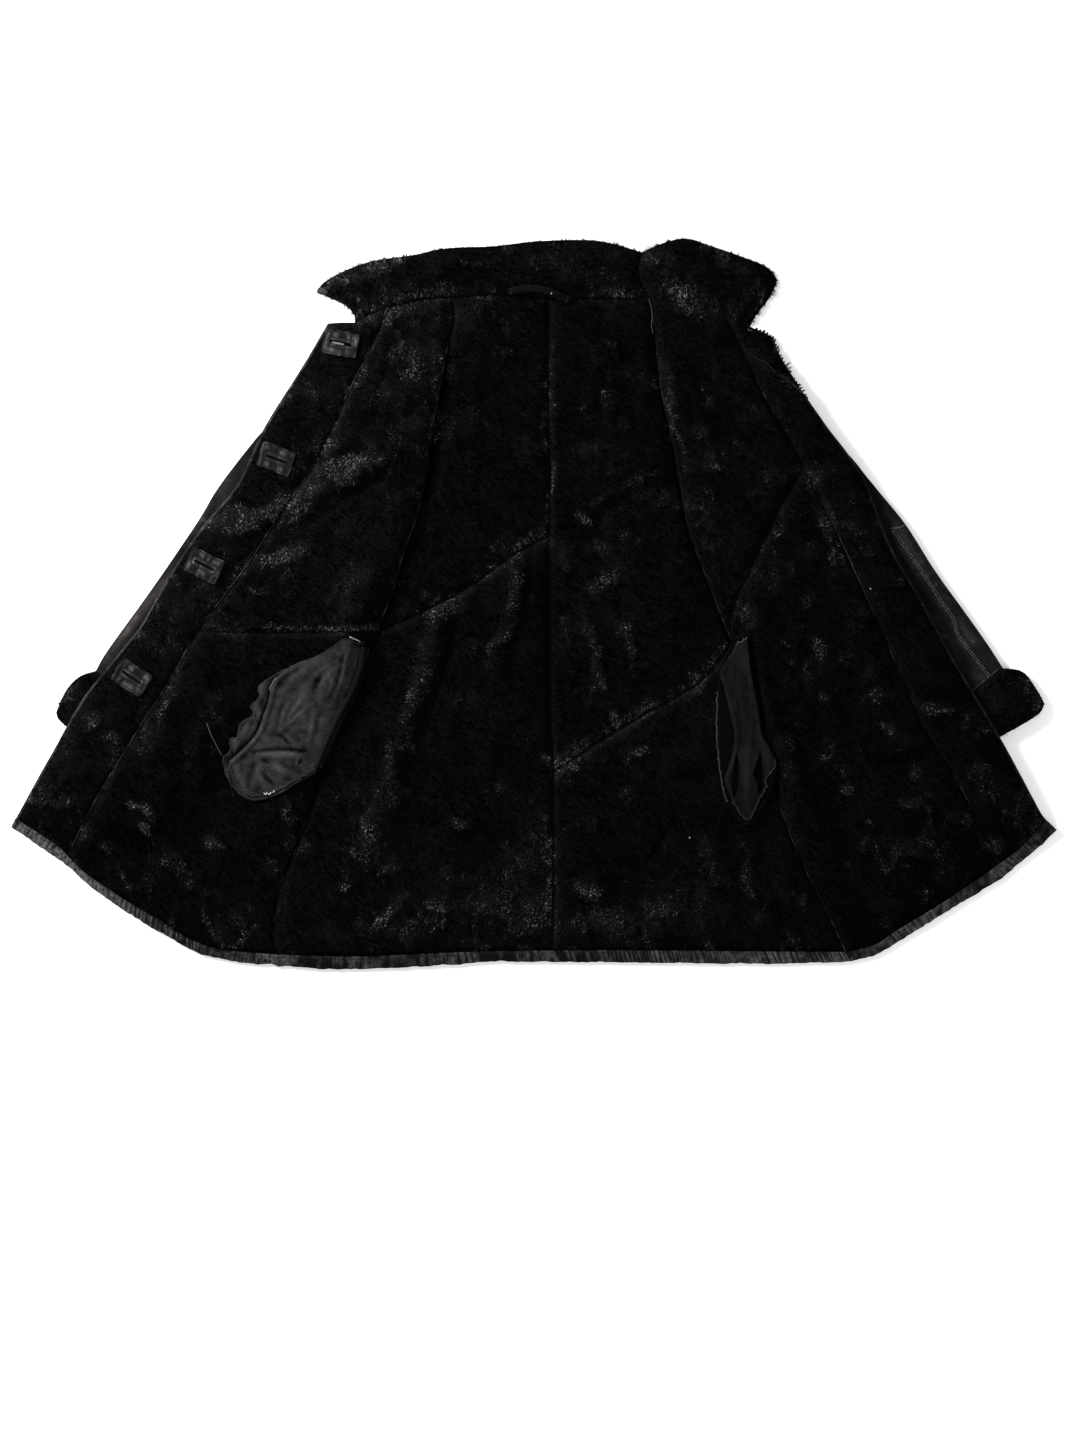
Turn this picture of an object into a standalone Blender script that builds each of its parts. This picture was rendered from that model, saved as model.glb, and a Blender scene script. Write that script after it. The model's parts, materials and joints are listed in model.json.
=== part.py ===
"""Sheepskin coat, laid open on its back with the fur side up.

Plan positions are in millimetres: x runs out from the centre back seam, plus to
the side where the wearer's left front lies, and d runs down from the collar seam.
Heights are above the surface the coat rests on. Every wall is a closed slab over
a grid that fills the space between four seam lines.
"""
import math

import bmesh
import bpy
import numpy as np
from mathutils import Vector
from mathutils.bvhtree import BVHTree

MM = 0.001

# Sizes of the skins and of the way they are sewn
HIDE = 1.3
PILE = 9.0
WALL = HIDE + PILE
SEAM_WALL = 5.6
FREE_WALL = 3.0
ROUND_OFF = 13.0
SEAM_GAP = 0.3

# Rows between the seam junctions of the centre back, from the neck to the hem
ROWS_NECK = 14
ROWS_WAIST = 6
ROWS_HEM = 15
BACK_COLUMNS = 12
SIDE_COLUMNS = 9
EDGE_COLUMNS = 8
COLLAR_ROWS = 6

# Seam lines of the back and of the wearer's right front, as (x, d)
CENTRE_BACK = {
    "neck": [(0, 0), (0, 118), (2, 199), (1, 274)],
    "waist": [(1, 274), (1, 348), (2, 463), (6, 547)],
    "hem": [(6, 547), (6, 647), (5, 752)],
}
SIDE_RIGHT = {
    "upper": [(-110, -2), (-109, 24), (-117, 59), (-131, 141), (-141, 207), (-152, 254),
              (-166, 292), (-178, 335), (-198, 385)],
    "lower": [(-198, 385), (-220, 439), (-244, 493), (-261, 546), (-285, 616), (-300, 653),
              (-312, 690), (-316, 727), (-313, 757)],
}
PRINCESS_RIGHT = {
    "upper": [(-184, 9), (-204, 55), (-225, 100), (-269, 191), (-312, 256), (-347, 309),
              (-404, 385)],
    "lower": [(-404, 385), (-434, 439), (-476, 505), (-521, 580), (-554, 643)],
}
EDGE_RIGHT = {
    "upper": [(-254, 29), (-289, 89), (-328, 153), (-358, 216), (-399, 266), (-432, 314),
              (-468, 378)],
    "lower": [(-468, 378), (-505, 424), (-537, 465), (-570, 524), (-607, 588), (-614, 600)],
}

# Seam lines of the wearer's left front
SIDE_LEFT = {
    "upper": [(118, 1), (124, 44), (131, 105), (146, 181), (160, 258), (183, 323), (212, 397)],
    "lower": [(212, 397), (230, 452), (261, 561), (274, 604), (297, 658), (317, 698), (344, 754)],
}
PRINCESS_LEFT = {
    "upper": [(205, 21), (227, 68), (255, 125), (294, 194)],
    "lower": [(294, 194), (329, 264), (366, 345), (399, 419), (440, 509), (465, 546), (521, 652)],
}
EDGE_LEFT = {
    "upper": [(259, 45), (267, 66), (290, 105), (321, 150)],
    "lower": [(321, 150), (348, 185), (367, 217), (392, 283), (427, 346), (466, 417), (503, 478),
              (529, 523), (564, 588), (573, 601)],
}

# Neck line in the same order as the panels that meet it, then the cross seams
NECK = {
    "free right": [(-254, 29), (-239, 28), (-223, 28)],
    "edge right": [(-223, 28), (-202, 16), (-184, 9)],
    "side right": [(-184, 9), (-147, 1), (-110, -2)],
    "back right": [(-110, -2), (-55, -5), (0, 0)],
    "back left": [(0, 0), (60, 0), (118, 1)],
    "side left": [(118, 1), (163, 7), (205, 21)],
    "edge left": [(205, 21), (221, 26), (233, 33)],
    "free left": [(233, 33), (248, 39), (259, 45)],
}
CROSS = {
    "back right": [(-198, 385), (-159, 369), (-117, 347), (-84, 327), (-31, 290), (1, 274)],
    "back left": [(6, 547), (62, 509), (117, 476), (175, 442), (212, 397)],
    "front right": [(-404, 385), (-343, 386), (-285, 386), (-198, 385)],
    "front left": [(212, 397), (212, 363), (231, 314), (263, 248), (294, 194)],
}
HEM = {
    "edge right": [(-614, 600), (-568, 630), (-554, 643)],
    "side right": [(-554, 643), (-531, 665), (-486, 695), (-445, 719), (-413, 739), (-376, 751),
                   (-313, 757)],
    "back right": [(-313, 757), (-220, 759), (-97, 754), (5, 752)],
    "back left": [(5, 752), (117, 752), (221, 753), (344, 754)],
    "side left": [(344, 754), (378, 745), (399, 731), (461, 693), (521, 652)],
    "edge left": [(521, 652), (543, 634), (573, 601)],
}
HEM_FOLD = {
    "right front": [(-619, 610), (-589, 631), (-561, 650), (-534, 673), (-478, 713), (-423, 746),
                    (-396, 758), (-368, 764), (-313, 770)],
    "back": [(-313, 770), (-230, 774), (-120, 769), (-64, 765), (5, 765), (156, 767), (294, 767),
             (350, 765)],
    "left front": [(350, 765), (377, 758), (405, 742), (460, 707), (515, 674), (543, 653),
                   (570, 629), (586, 613)],
}

# Collar: the notch and point of each end, the outer edge, and the join between its halves
COLLAR = {
    "right end": [(-266, -7), (-251, 0), (-233, 9), (-224, 19), (-223, 28)],
    "right edge": [(-266, -7), (-260, -17), (-238, -30), (-202, -43), (-154, -50), (-120, -57),
                   (-64, -60), (-9, -66), (46, -67), (74, -63), (108, -53)],
    "join": [(108, -53), (103, -26), (118, 1)],
    "left edge": [(108, -53), (131, -63), (158, -69), (186, -61), (223, -48), (252, -36),
                  (265, -21)],
    "left end": [(265, -21), (256, -1), (240, 20), (233, 33)],
}

# Sleeves: outer line from the shoulder, inner line from the underarm, then the two cuff lines
SLEEVE_RIGHT = {
    "outer": [(-126, 100), (-180, 118), (-240, 128), (-290, 134), (-322, 148), (-349, 178),
              (-382, 222), (-404, 259), (-458, 338), (-507, 406), (-521, 430)],
    "inner": [(-166, 292), (-200, 312), (-240, 345), (-300, 405), (-360, 462), (-415, 506)],
    "cuff outer": [(-521, 430), (-539, 436), (-553, 449), (-563, 467)],
    "cuff inner": [(-415, 506), (-428, 528), (-446, 552)],
    "cuff end": [(-563, 467), (-562, 488), (-505, 525), (-446, 552)],
}
SLEEVE_LEFT = {
    "outer": [(129, 92), (185, 108), (245, 122), (300, 147), (343, 178), (366, 205), (384, 227),
              (413, 263), (446, 315), (482, 365), (508, 402), (524, 427)],
    "inner": [(172, 292), (205, 312), (245, 345), (300, 400), (360, 460), (425, 507)],
    "cuff outer": [(524, 427), (547, 431), (564, 453), (572, 468)],
    "cuff inner": [(425, 507), (438, 528), (452, 546)],
    "cuff end": [(572, 468), (562, 482), (510, 512), (452, 546)],
}

# Sleeve and cuff walls in section: heights at the rim, inside it, and at the armhole seam
SLEEVE_RIM = 14.0
SLEEVE_HEAD = 26.0
UNDER_FLOOR = {"rim": 4.0, "body": 0.0, "armhole": 0.0}
UNDER_ROOF = {"rim": 6.8, "body": 6.0, "armhole": 4.3}
OVER_FLOOR = {"rim": 7.15, "body": 8.2, "armhole": 4.65}
OVER_ROOF = {"rim": 10.0, "body": 14.5, "armhole": 9.0}
CUFF_UNDER_ROOF = {"rim": 7.2, "body": 7.2, "armhole": 7.2}
CUFF_OVER_FLOOR = {"rim": 7.55, "body": 8.8, "armhole": 8.2}
CUFF_OVER_ROOF = {"rim": 11.5, "body": 16.5, "armhole": 16.5}

# The fronts ride over the sleeves: clearance above them, and how far they take to come down
OVER_SLEEVE = 15.9
OVER_CUFF = 18.2
MARGIN = 10.0
COME_DOWN = 62.0
ARMHOLE_LIFT = 9.6
SIDE_LIFT = 1.2
SIDE_SLOPE = 0.75

# Folds that lift the whole wall: reach to each side, then rows of (x, d, height)
BACK_FOLDS = {
    "long fold": (30, [(-126, 352, 3), (-134, 385, 9), (-153, 452, 11), (-176, 532, 9),
                       (-199, 601, 8), (-218, 648, 3)]),
    "short fold": (22, [(-40, 302, 3), (-49, 348, 7), (-60, 410, 2)]),
    "waist fold": (24, [(20, 292, 2), (60, 363, 7), (91, 402, 3)]),
    "low fold": (20, [(36, 378, 2), (52, 410, 5), (67, 443, 2)]),
    "hip swell": (58, [(150, 560, 3), (190, 640, 6), (214, 700, 3)]),
    "hem swell": (50, [(-110, 660, 3), (-130, 710, 5), (-128, 735, 2)]),
    "side ridge": (16, [(-295, 690, 3), (-300, 735, 4)]),
}
FRONT_FOLDS = {
    "breast fold": (30, [(-396, 273, 2), (-367, 261, 6), (-319, 252, 8), (-285, 240, 7),
                         (-204, 194, 3)]),
    "right roll": (34, [(-196, 308, 6), (-219, 372, 13), (-242, 432, 12), (-266, 490, 10),
                        (-284, 546, 8), (-303, 600, 6), (-322, 648, 3)]),
    "left roll": (34, [(198, 318, 6), (226, 372, 12), (244, 430, 13), (260, 500, 12),
                       (276, 560, 11), (296, 620, 8), (322, 680, 4)]),
    "left breast fold": (26, [(232, 150, 2), (262, 196, 6), (286, 240, 5), (300, 300, 2)]),
    "left hem swell": (46, [(392, 600, 2), (420, 650, 6), (436, 690, 2)]),
    "right hem swell": (46, [(-420, 600, 2), (-440, 660, 5), (-450, 700, 2)]),
}
COLLAR_FOLDS = {
    "right point": (22, [(-232, -20, 3), (-200, -24, 9), (-165, -19, 4)]),
    "right roll": (24, [(-150, -26, 3), (-120, -44, 8), (-92, -54, 4)]),
    "neck roll": (26, [(-196, 0, 3), (-150, -14, 6), (-90, -16, 7), (0, -14, 6), (84, -14, 5)]),
    "left roll": (26, [(126, -44, 6), (160, -34, 10), (196, -8, 8), (222, 12, 4)]),
    "left point": (18, [(206, -40, 3), (244, -26, 5)]),
}

# Buttonhole patches on the right front and the slit in each, turned by so many degrees
PATCH = {"length": 41.0, "width": 30.0, "wall": 1.6, "corner": 4.0}
SLIT = {"length": 25.0, "width": 2.6}
PATCHES = {
    "buttonhole_patch_1": (-239, 53, -11),
    "buttonhole_patch_2": (-312, 187, -20),
    "buttonhole_patch_3": (-395, 309, -27),
    "buttonhole_patch_4": (-478, 438, -34),
}
OPEN_SLIT = {"length": 25.0, "width": 3.6}

# Buttons under the left front, sewn on at its hide side
BUTTON = {"radius": 12.0, "wall": 4.0, "rim": 1.6}
BUTTONS = {
    "button_1": (262, 92),
    "button_2": (330, 205),
    "button_3": (385, 330),
    "button_4": (450, 448),
}
BUTTON_LINE = (62, [(262, 88, 6.4), (330, 205, 6.4), (385, 330, 6.4), (450, 448, 6.4)])

# Pocket bags: the four sides of each ply, and how it stands off the ply below
POCKETS = {
    "pocket_bag_right_under": {
        "head": [(-236, 392), (-210, 397)],
        "left": [(-236, 392), (-262, 411), (-304, 429), (-322, 452), (-334, 478), (-358, 511),
                 (-374, 530)],
        "right": [(-210, 397), (-215, 428), (-226, 456), (-242, 486), (-255, 513), (-268, 548)],
        "foot": [(-374, 530), (-370, 551), (-358, 569), (-338, 579), (-312, 573), (-290, 560),
                 (-268, 548)],
        "stand": 0.9, "puff": 0.6,
    },
    "pocket_bag_right_over": {
        "head": [(-236, 394), (-212, 399)],
        "left": [(-236, 394), (-262, 415), (-296, 440), (-306, 465), (-322, 488), (-346, 512),
                 (-366, 533)],
        "right": [(-212, 399), (-218, 430), (-229, 458), (-245, 488), (-257, 514), (-269, 544)],
        "foot": [(-366, 533), (-364, 550), (-354, 565), (-338, 574), (-312, 568), (-290, 555),
                 (-269, 544)],
        "stand": 0.8, "puff": 5.0,
    },
    "pocket_bag_left_under": {
        "head": [(213, 391), (229, 388)],
        "left": [(213, 391), (205, 412), (196, 436), (194, 490), (196, 530), (202, 570),
                 (214, 598)],
        "right": [(229, 388), (236, 430), (243, 470), (250, 510), (262, 530), (262, 552),
                  (250, 585)],
        "foot": [(214, 598), (226, 608), (236, 606), (250, 585)],
        "stand": 0.9, "puff": 0.8,
    },
    "pocket_bag_left_over": {
        "head": [(214, 395), (228, 392)],
        "left": [(214, 395), (208, 410), (200, 428), (203, 456), (213, 490), (216, 520),
                 (210, 556), (219, 590)],
        "right": [(228, 392), (231, 430), (238, 466), (243, 500), (251, 528), (256, 548),
                  (246, 580)],
        "foot": [(219, 590), (227, 600), (236, 598), (246, 580)],
        "stand": 0.8, "puff": 5.5,
    },
}
POCKET_WALL = 1.1
FACING = {"wall": 1.4, "width": 10.0,
          "line": [(-209, 403), (-214, 430), (-225, 458), (-241, 487), (-253, 513), (-264, 540)]}

# Gathers of the hem binding: half the length of one, and how far each stands up
GATHER = {"half": 7.0, "rise": 1.0}

LOOP = {"wall": 1.3, "width": 8.0, "line": [(-46, -6, 0.0), (-24, -10, 3.2), (-2, -7, 4.2),
                                            (14, -1, 2.6), (25, 3, 0.0)]}


def bell(share):
    """A soft hump: 1 in the middle and 0 from share 1 outwards."""
    return (1.0 - min(1.0, share) ** 2) ** 2


def ease(share):
    """A soft step from 0 to 1."""
    share = min(1.0, max(0.0, share))
    return share * share * (3.0 - 2.0 * share)


def shares(count):
    """Positions from 0 to 1 in so many steps, the outer steps narrower."""
    steps = np.ones(count)
    if count >= 6:
        steps[[0, -1]] = 0.42
        steps[[1, -2]] = 0.8
    return np.concatenate([[0.0], np.cumsum(steps) / steps.sum()])


def smooth_line(points, count, like=None):
    """So many steps along a smooth line through the points, spaced like another line if given."""
    points = np.array(points, float)
    ends = np.vstack([2 * points[0] - points[1], points, 2 * points[-1] - points[-2]])
    dense = []
    for before, start, stop, after in zip(ends, ends[1:], ends[2:], ends[3:]):
        for t in np.linspace(0, 1, 24, endpoint=False):
            dense.append(0.5 * (2 * start + (stop - before) * t
                                + (2 * before - 5 * start + 4 * stop - after) * t ** 2
                                + (3 * start - before - 3 * stop + after) * t ** 3))
    dense.append(points[-1])
    dense = np.array(dense)
    run = np.concatenate([[0.0], np.cumsum(np.linalg.norm(np.diff(dense, axis=0), axis=1))])
    at = (shares(count) if like is None else progress(like)) * run[-1]
    return np.stack([np.interp(at, run, dense[:, k]) for k in range(points.shape[1])], axis=1)


def progress(line):
    """How far along a line each of its points lies, from 0 to 1."""
    run = np.cumsum(np.linalg.norm(np.diff(line, axis=0), axis=1))
    return np.concatenate([[0.0], run / run[-1]])


def finer(line, step):
    """The same straight runs, cut into steps of about one length."""
    out = [line[:1]]
    for start, stop in zip(line, line[1:]):
        parts = max(1, round(np.linalg.norm(stop - start) / step))
        out.append(start + (stop - start) * (np.arange(1, parts + 1) / parts)[:, None])
    return np.vstack(out)


def joined(*lines):
    """Lines end to end, each shared point kept once."""
    return np.vstack([lines[0]] + [line[1:] for line in lines[1:]])


def off_line(point, line):
    """Distance from a point to a line, and the value of the line's further columns there."""
    line = np.asarray(line, float)
    start, step = line[:-1, :2], np.diff(line[:, :2], axis=0)
    t = np.clip(((point - start) * step).sum(1) / np.maximum((step ** 2).sum(1), 1e-9), 0, 1)
    gap = np.linalg.norm(start + step * t[:, None] - point, axis=1)
    k = int(np.argmin(gap))
    return gap[k], line[k, 2:] + (line[k + 1, 2:] - line[k, 2:]) * t[k]


def fold_lift(point, folds):
    """How far the folds lift the wall at a point."""
    total = 0.0
    for reach, rows in folds:
        gap, height = off_line(point, rows)
        total += height[0] * bell(gap / reach)
    return total


def fill(head, foot, left, right):
    """Grid of plan points between four lines, rows from the head to the foot."""
    s = ((progress(head) + progress(foot)) / 2)[None, :, None]
    t = ((progress(left) + progress(right)) / 2)[:, None, None]
    grid = (1 - t) * head[None] + t * foot[None] + (1 - s) * left[:, None] + s * right[:, None]
    grid = grid - ((1 - s) * (1 - t) * head[0] + s * (1 - t) * head[-1]
                   + (1 - s) * t * foot[0] + s * t * foot[-1])
    return grid


def drawn_in(grid, gap):
    """The same grid with its rim moved inwards by the gap."""
    out = grid.copy()
    rows, columns = grid.shape[:2]
    for r in range(rows):
        for c in range(columns):
            inner = (min(max(r, 1), rows - 2), min(max(c, 1), columns - 2))
            if inner != (r, c):
                way = grid[inner] - grid[r, c]
                corner = inner[0] != r and inner[1] != c
                out[r, c] += way / np.linalg.norm(way) * gap * (1.5 if corner else 1.0)
    return out


def solid(name, grid, floor, roof):
    """One closed slab over a grid, between a floor and a roof height at each point."""
    rows, columns = grid.shape[:2]
    low = [(p[0] * MM, -p[1] * MM, z * MM) for p, z in zip(grid.reshape(-1, 2), floor.ravel())]
    top = [(p[0] * MM, -p[1] * MM, z * MM) for p, z in zip(grid.reshape(-1, 2), roof.ravel())]
    size = rows * columns

    def at(r, c):
        return r * columns + c
    faces = []
    for r in range(rows - 1):
        for c in range(columns - 1):
            ring = (at(r, c), at(r + 1, c), at(r + 1, c + 1), at(r, c + 1))
            faces.append(tuple(k + size for k in ring))
            faces.append(ring[::-1])
    rim = [at(0, c) for c in range(columns)] + [at(r, columns - 1) for r in range(1, rows)]
    rim += [at(rows - 1, c) for c in range(columns - 2, -1, -1)]
    rim += [at(r, 0) for r in range(rows - 2, 0, -1)]
    for a, b in zip(rim, rim[1:] + rim[:1]):
        faces.append((a, a + size, b + size, b))
    return add(name, low + top, faces)


def add(name, corners, faces):
    """One solid in the scene, triangulated and facing outwards."""
    mesh = bpy.data.meshes.new(name)
    mesh.from_pydata(corners, [], faces)
    work = bmesh.new()
    work.from_mesh(mesh)
    bmesh.ops.triangulate(work, faces=work.faces, quad_method="SHORT_EDGE")
    bmesh.ops.recalc_face_normals(work, faces=work.faces)
    if work.calc_volume(signed=True) < 0:
        bmesh.ops.reverse_faces(work, faces=work.faces)
    work.to_mesh(mesh)
    work.free()
    piece = bpy.data.objects.new(name, mesh)
    bpy.context.scene.collection.objects.link(piece)
    return piece


def rims(grid, free):
    """The four sides of a grid as lines, with True for a free edge."""
    return [(grid[0], "head" in free), (grid[-1], "foot" in free),
            (grid[:, 0], "left" in free), (grid[:, -1], "right" in free)]


def skin(name, head, foot, left, right, lift, free=()):
    """A panel of sheepskin: the pile falls away to its seams and free edges."""
    grid = fill(head, foot, left, right)
    sides = rims(grid, free)
    floor = np.zeros(grid.shape[:2])
    roof = np.zeros(grid.shape[:2])
    for place in np.ndindex(*floor.shape):
        point = grid[place]
        wall = WALL
        for line, is_free in sides:
            rim = FREE_WALL if is_free else SEAM_WALL
            share = ease(off_line(point, line)[0] / ROUND_OFF)
            wall = min(wall, rim + (WALL - rim) * share)
        floor[place] = lift(point)
        roof[place] = floor[place] + wall
    return solid(name, drawn_in(grid, SEAM_GAP * 0.62), floor, roof)


def section(table, rim, head):
    """Height in a sleeve wall for shares of the way in from the rim and from the armhole."""
    body = table["rim"] + (table["body"] - table["rim"]) * rim
    return table["armhole"] + (body - table["armhole"]) * head


def tube_half(name, grid, floor, roof):
    """The upper or lower wall of a sleeve or cuff that lies flat."""
    low = np.zeros(grid.shape[:2])
    top = np.zeros(grid.shape[:2])
    for place in np.ndindex(*low.shape):
        point = grid[place]
        off_side = min(off_line(point, grid[:, 0])[0], off_line(point, grid[:, -1])[0])
        rim = ease(off_side / SLEEVE_RIM)
        head = ease(off_line(point, grid[0])[0] / SLEEVE_HEAD)
        low[place] = section(floor, rim, head)
        top[place] = section(roof, rim, head)
    return solid(name, drawn_in(grid, SEAM_GAP * 0.62), low, top)


def surface_of(pieces, reach=5.0, underside=False):
    """Height of the top of the given solids near a plan point, or of their underside, in mm."""
    trees = []
    for piece in pieces:
        work = bmesh.new()
        work.from_mesh(piece.data)
        trees.append(BVHTree.FromBMesh(work))
        work.free()
    ring = [(0, 0)]
    ring += [(math.cos(a) * reach, math.sin(a) * reach) for a in np.arange(8) * math.pi / 4]
    start_z, way = (-0.1, Vector((0, 0, 1))) if underside else (0.2, Vector((0, 0, -1)))

    def height(point):
        found = []
        for dx, dd in ring:
            start = Vector(((point[0] + dx) * MM, -(point[1] + dd) * MM, start_z))
            hits = [tree.ray_cast(start, way)[0] for tree in trees]
            found += [hit.z / MM for hit in hits if hit is not None]
        if not found:
            return 0.0
        return min(found) if underside else max(found)
    return height


def rounded_box(length, width, corner):
    """Grid of plan points over a rectangle whose corners are rounded."""
    grid = np.zeros((5, 6, 2))
    for place in np.ndindex(5, 6):
        x = (place[1] / 5 * 2 - 1) * length / 2
        y = (place[0] / 4 * 2 - 1) * width / 2
        over_x = max(0.0, abs(x) - (length / 2 - corner))
        over_y = max(0.0, abs(y) - (width / 2 - corner))
        pull = max(0.0, math.hypot(over_x, over_y) - corner)
        if pull:
            x -= math.copysign(pull * 0.7, x)
            y -= math.copysign(pull * 0.7, y)
        grid[place] = (x, y)
    return grid


def turned(grid, x, d, degrees):
    """A plan grid turned about its middle and moved to x, d."""
    c, s = math.cos(math.radians(degrees)), math.sin(math.radians(degrees))
    out = np.zeros_like(grid)
    out[..., 0] = x + grid[..., 0] * c - grid[..., 1] * -s
    out[..., 1] = d + grid[..., 0] * -s + grid[..., 1] * c
    return out


def pierce(piece, x, d, degrees, length, width):
    """Cuts a slit right through a solid."""
    angle = math.radians(degrees)
    half = length / 2
    outline = []
    for side in (1, -1):
        for step in range(5):
            turn = math.pi / 2 * side - side * math.pi * step / 4
            outline.append((side * (half - width / 2) + width / 2 * math.cos(turn),
                            width / 2 * math.sin(turn)))
    outline = outline[:5] + [(-p[0], -p[1]) for p in outline[:5]]
    corners = []
    for z in (-0.03, 0.08):
        for along, across in outline:
            px = x + along * math.cos(angle) + across * math.sin(angle)
            pd = d - along * math.sin(angle) + across * math.cos(angle)
            corners.append((px * MM, -pd * MM, z))
    count = len(outline)
    faces = [tuple(range(count)), tuple(range(2 * count - 1, count - 1, -1))]
    for k in range(count):
        nxt = (k + 1) % count
        faces.append((k, k + count, nxt + count, nxt))
    cutter = add("slit cutter", corners, faces)
    cut = piece.modifiers.new("slit", "BOOLEAN")
    cut.operation = "DIFFERENCE"
    cut.solver = "EXACT"
    cut.object = cutter
    graph = bpy.context.evaluated_depsgraph_get()
    mesh = bpy.data.meshes.new_from_object(piece.evaluated_get(graph))
    piece.modifiers.clear()
    piece.data = mesh
    bpy.data.objects.remove(cutter, do_unlink=True)
    work = bmesh.new()
    work.from_mesh(mesh)
    bmesh.ops.triangulate(work, faces=work.faces)
    work.to_mesh(mesh)
    work.free()


def band(line, width, count):
    """Grid of plan points over a strip of even width along a line."""
    middle = smooth_line([row[:2] for row in line], count)
    way = np.gradient(middle, axis=0)
    way = way / np.linalg.norm(way, axis=1)[:, None]
    out = np.stack([way[:, 1], -way[:, 0]], axis=1)
    offsets = np.array([-0.5, -0.2, 0.2, 0.5]) * width
    return middle[:, None] + out[:, None] * offsets[None, :, None]


def laid(name, grid, under, stand, wall, puff=0.0):
    """A thin ply that lies on what is under it, swollen towards its middle."""
    floor = np.zeros(grid.shape[:2])
    sides = rims(grid, ())
    for place in np.ndindex(*floor.shape):
        off = min(off_line(grid[place], line)[0] for line, _ in sides)
        floor[place] = under(grid[place]) + stand + puff * ease(off / 26.0)
    return solid(name, grid, floor, floor + wall)


def build():
    for old in list(bpy.data.objects):
        bpy.data.objects.remove(old, do_unlink=True)

    right_rows = {"upper": ROWS_NECK, "lower": ROWS_WAIST + ROWS_HEM}
    left_rows = {"upper": ROWS_NECK + ROWS_WAIST, "lower": ROWS_HEM}
    centre = {
        "neck": smooth_line(CENTRE_BACK["neck"], ROWS_NECK),
        "waist": smooth_line(CENTRE_BACK["waist"], ROWS_WAIST),
        "hem": smooth_line(CENTRE_BACK["hem"], ROWS_HEM),
    }
    side_right = {k: smooth_line(v, right_rows[k]) for k, v in SIDE_RIGHT.items()}
    princess_right = {k: smooth_line(v, right_rows[k]) for k, v in PRINCESS_RIGHT.items()}
    edge_right = {k: smooth_line(v, right_rows[k]) for k, v in EDGE_RIGHT.items()}
    side_left = {k: smooth_line(v, left_rows[k]) for k, v in SIDE_LEFT.items()}
    princess_left = {k: smooth_line(v, left_rows[k]) for k, v in PRINCESS_LEFT.items()}
    edge_left = {k: smooth_line(v, left_rows[k]) for k, v in EDGE_LEFT.items()}

    columns = {"back": BACK_COLUMNS, "side": SIDE_COLUMNS, "edge": EDGE_COLUMNS}
    hem = {part: smooth_line(points, columns[part.split()[0]]) for part, points in HEM.items()}
    columns["edge"] = columns["free"] = EDGE_COLUMNS // 2
    neck = {part: smooth_line(points, columns[part.split()[0]]) for part, points in NECK.items()}
    cross = {
        "back right": smooth_line(CROSS["back right"], BACK_COLUMNS),
        "back left": smooth_line(CROSS["back left"], BACK_COLUMNS),
        "front right": smooth_line(CROSS["front right"], SIDE_COLUMNS),
        "front left": smooth_line(CROSS["front left"], SIDE_COLUMNS),
    }

    # Sleeves lie on the floor, their heads against the armholes of the back
    arm_rows = {"right": (4, 11), "left": (5, 15)}
    seams = {"right": joined(side_right["upper"]), "left": joined(side_left["upper"])}
    stations = []
    armhole = {}
    for hand, table in (("right", SLEEVE_RIGHT), ("left", SLEEVE_LEFT)):
        first, last = arm_rows[hand]
        step = 1 if hand == "right" else 2
        head = seams[hand][first:last + 1:step].copy()
        head[:, 0] += -0.4 if hand == "right" else 0.4
        count = len(head) - 1
        outer = smooth_line([head[0]] + table["outer"][1:], 17)
        inner = smooth_line([head[-1]] + table["inner"][1:], 17)
        end = smooth_line([outer[-1], (outer[-1] + inner[-1]) / 2, inner[-1]], count)
        sleeve = fill(head, end, outer, inner)
        tube_half("sleeve_" + hand + "_under", sleeve, UNDER_FLOOR, UNDER_ROOF)
        tube_half("sleeve_" + hand + "_over", sleeve, OVER_FLOOR, OVER_ROOF)
        cuff = fill(end, smooth_line(table["cuff end"], count),
                    smooth_line([outer[-1]] + table["cuff outer"][1:], 5),
                    smooth_line([inner[-1]] + table["cuff inner"][1:], 5))
        tube_half("cuff_" + hand + "_under", cuff, UNDER_FLOOR, CUFF_UNDER_ROOF)
        tube_half("cuff_" + hand + "_over", cuff, CUFF_OVER_FLOOR, CUFF_OVER_ROOF)
        for grid, height in ((sleeve, OVER_SLEEVE), (cuff, OVER_CUFF)):
            for row in grid:
                half = np.linalg.norm(row[0] - row[-1]) / 2
                stations.append((*((row[0] + row[-1]) / 2), half, height))
        armhole[hand] = head
    stations = np.array(stations)
    whole_side = {"right": joined(side_right["upper"], side_right["lower"]),
                  "left": joined(side_left["upper"], side_left["lower"])}

    front_folds = list(FRONT_FOLDS.values())
    back_folds = list(BACK_FOLDS.values())
    collar_folds = list(COLLAR_FOLDS.values())

    def back_lift(point):
        return fold_lift(point, back_folds)

    def front_lift(point):
        gap = np.linalg.norm(stations[:, :2] - point, axis=1) - stations[:, 2] - MARGIN
        over = max(h * ease(1.0 - g / COME_DOWN) for g, h in zip(gap, stations[:, 3]))
        over += fold_lift(point, front_folds)
        hand = "right" if point[0] < 0 else "left"
        beside = ease(1.0 - (off_line(point, armhole[hand])[0] - 10.0) / 45.0)
        seam = SIDE_LIFT + (ARMHOLE_LIFT - SIDE_LIFT) * beside
        over = min(over, seam + SIDE_SLOPE * off_line(point, whole_side[hand])[0])
        if hand == "left":
            over += fold_lift(point, [BUTTON_LINE])
        return over

    def collar_lift(point):
        return fold_lift(point, collar_folds)

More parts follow.
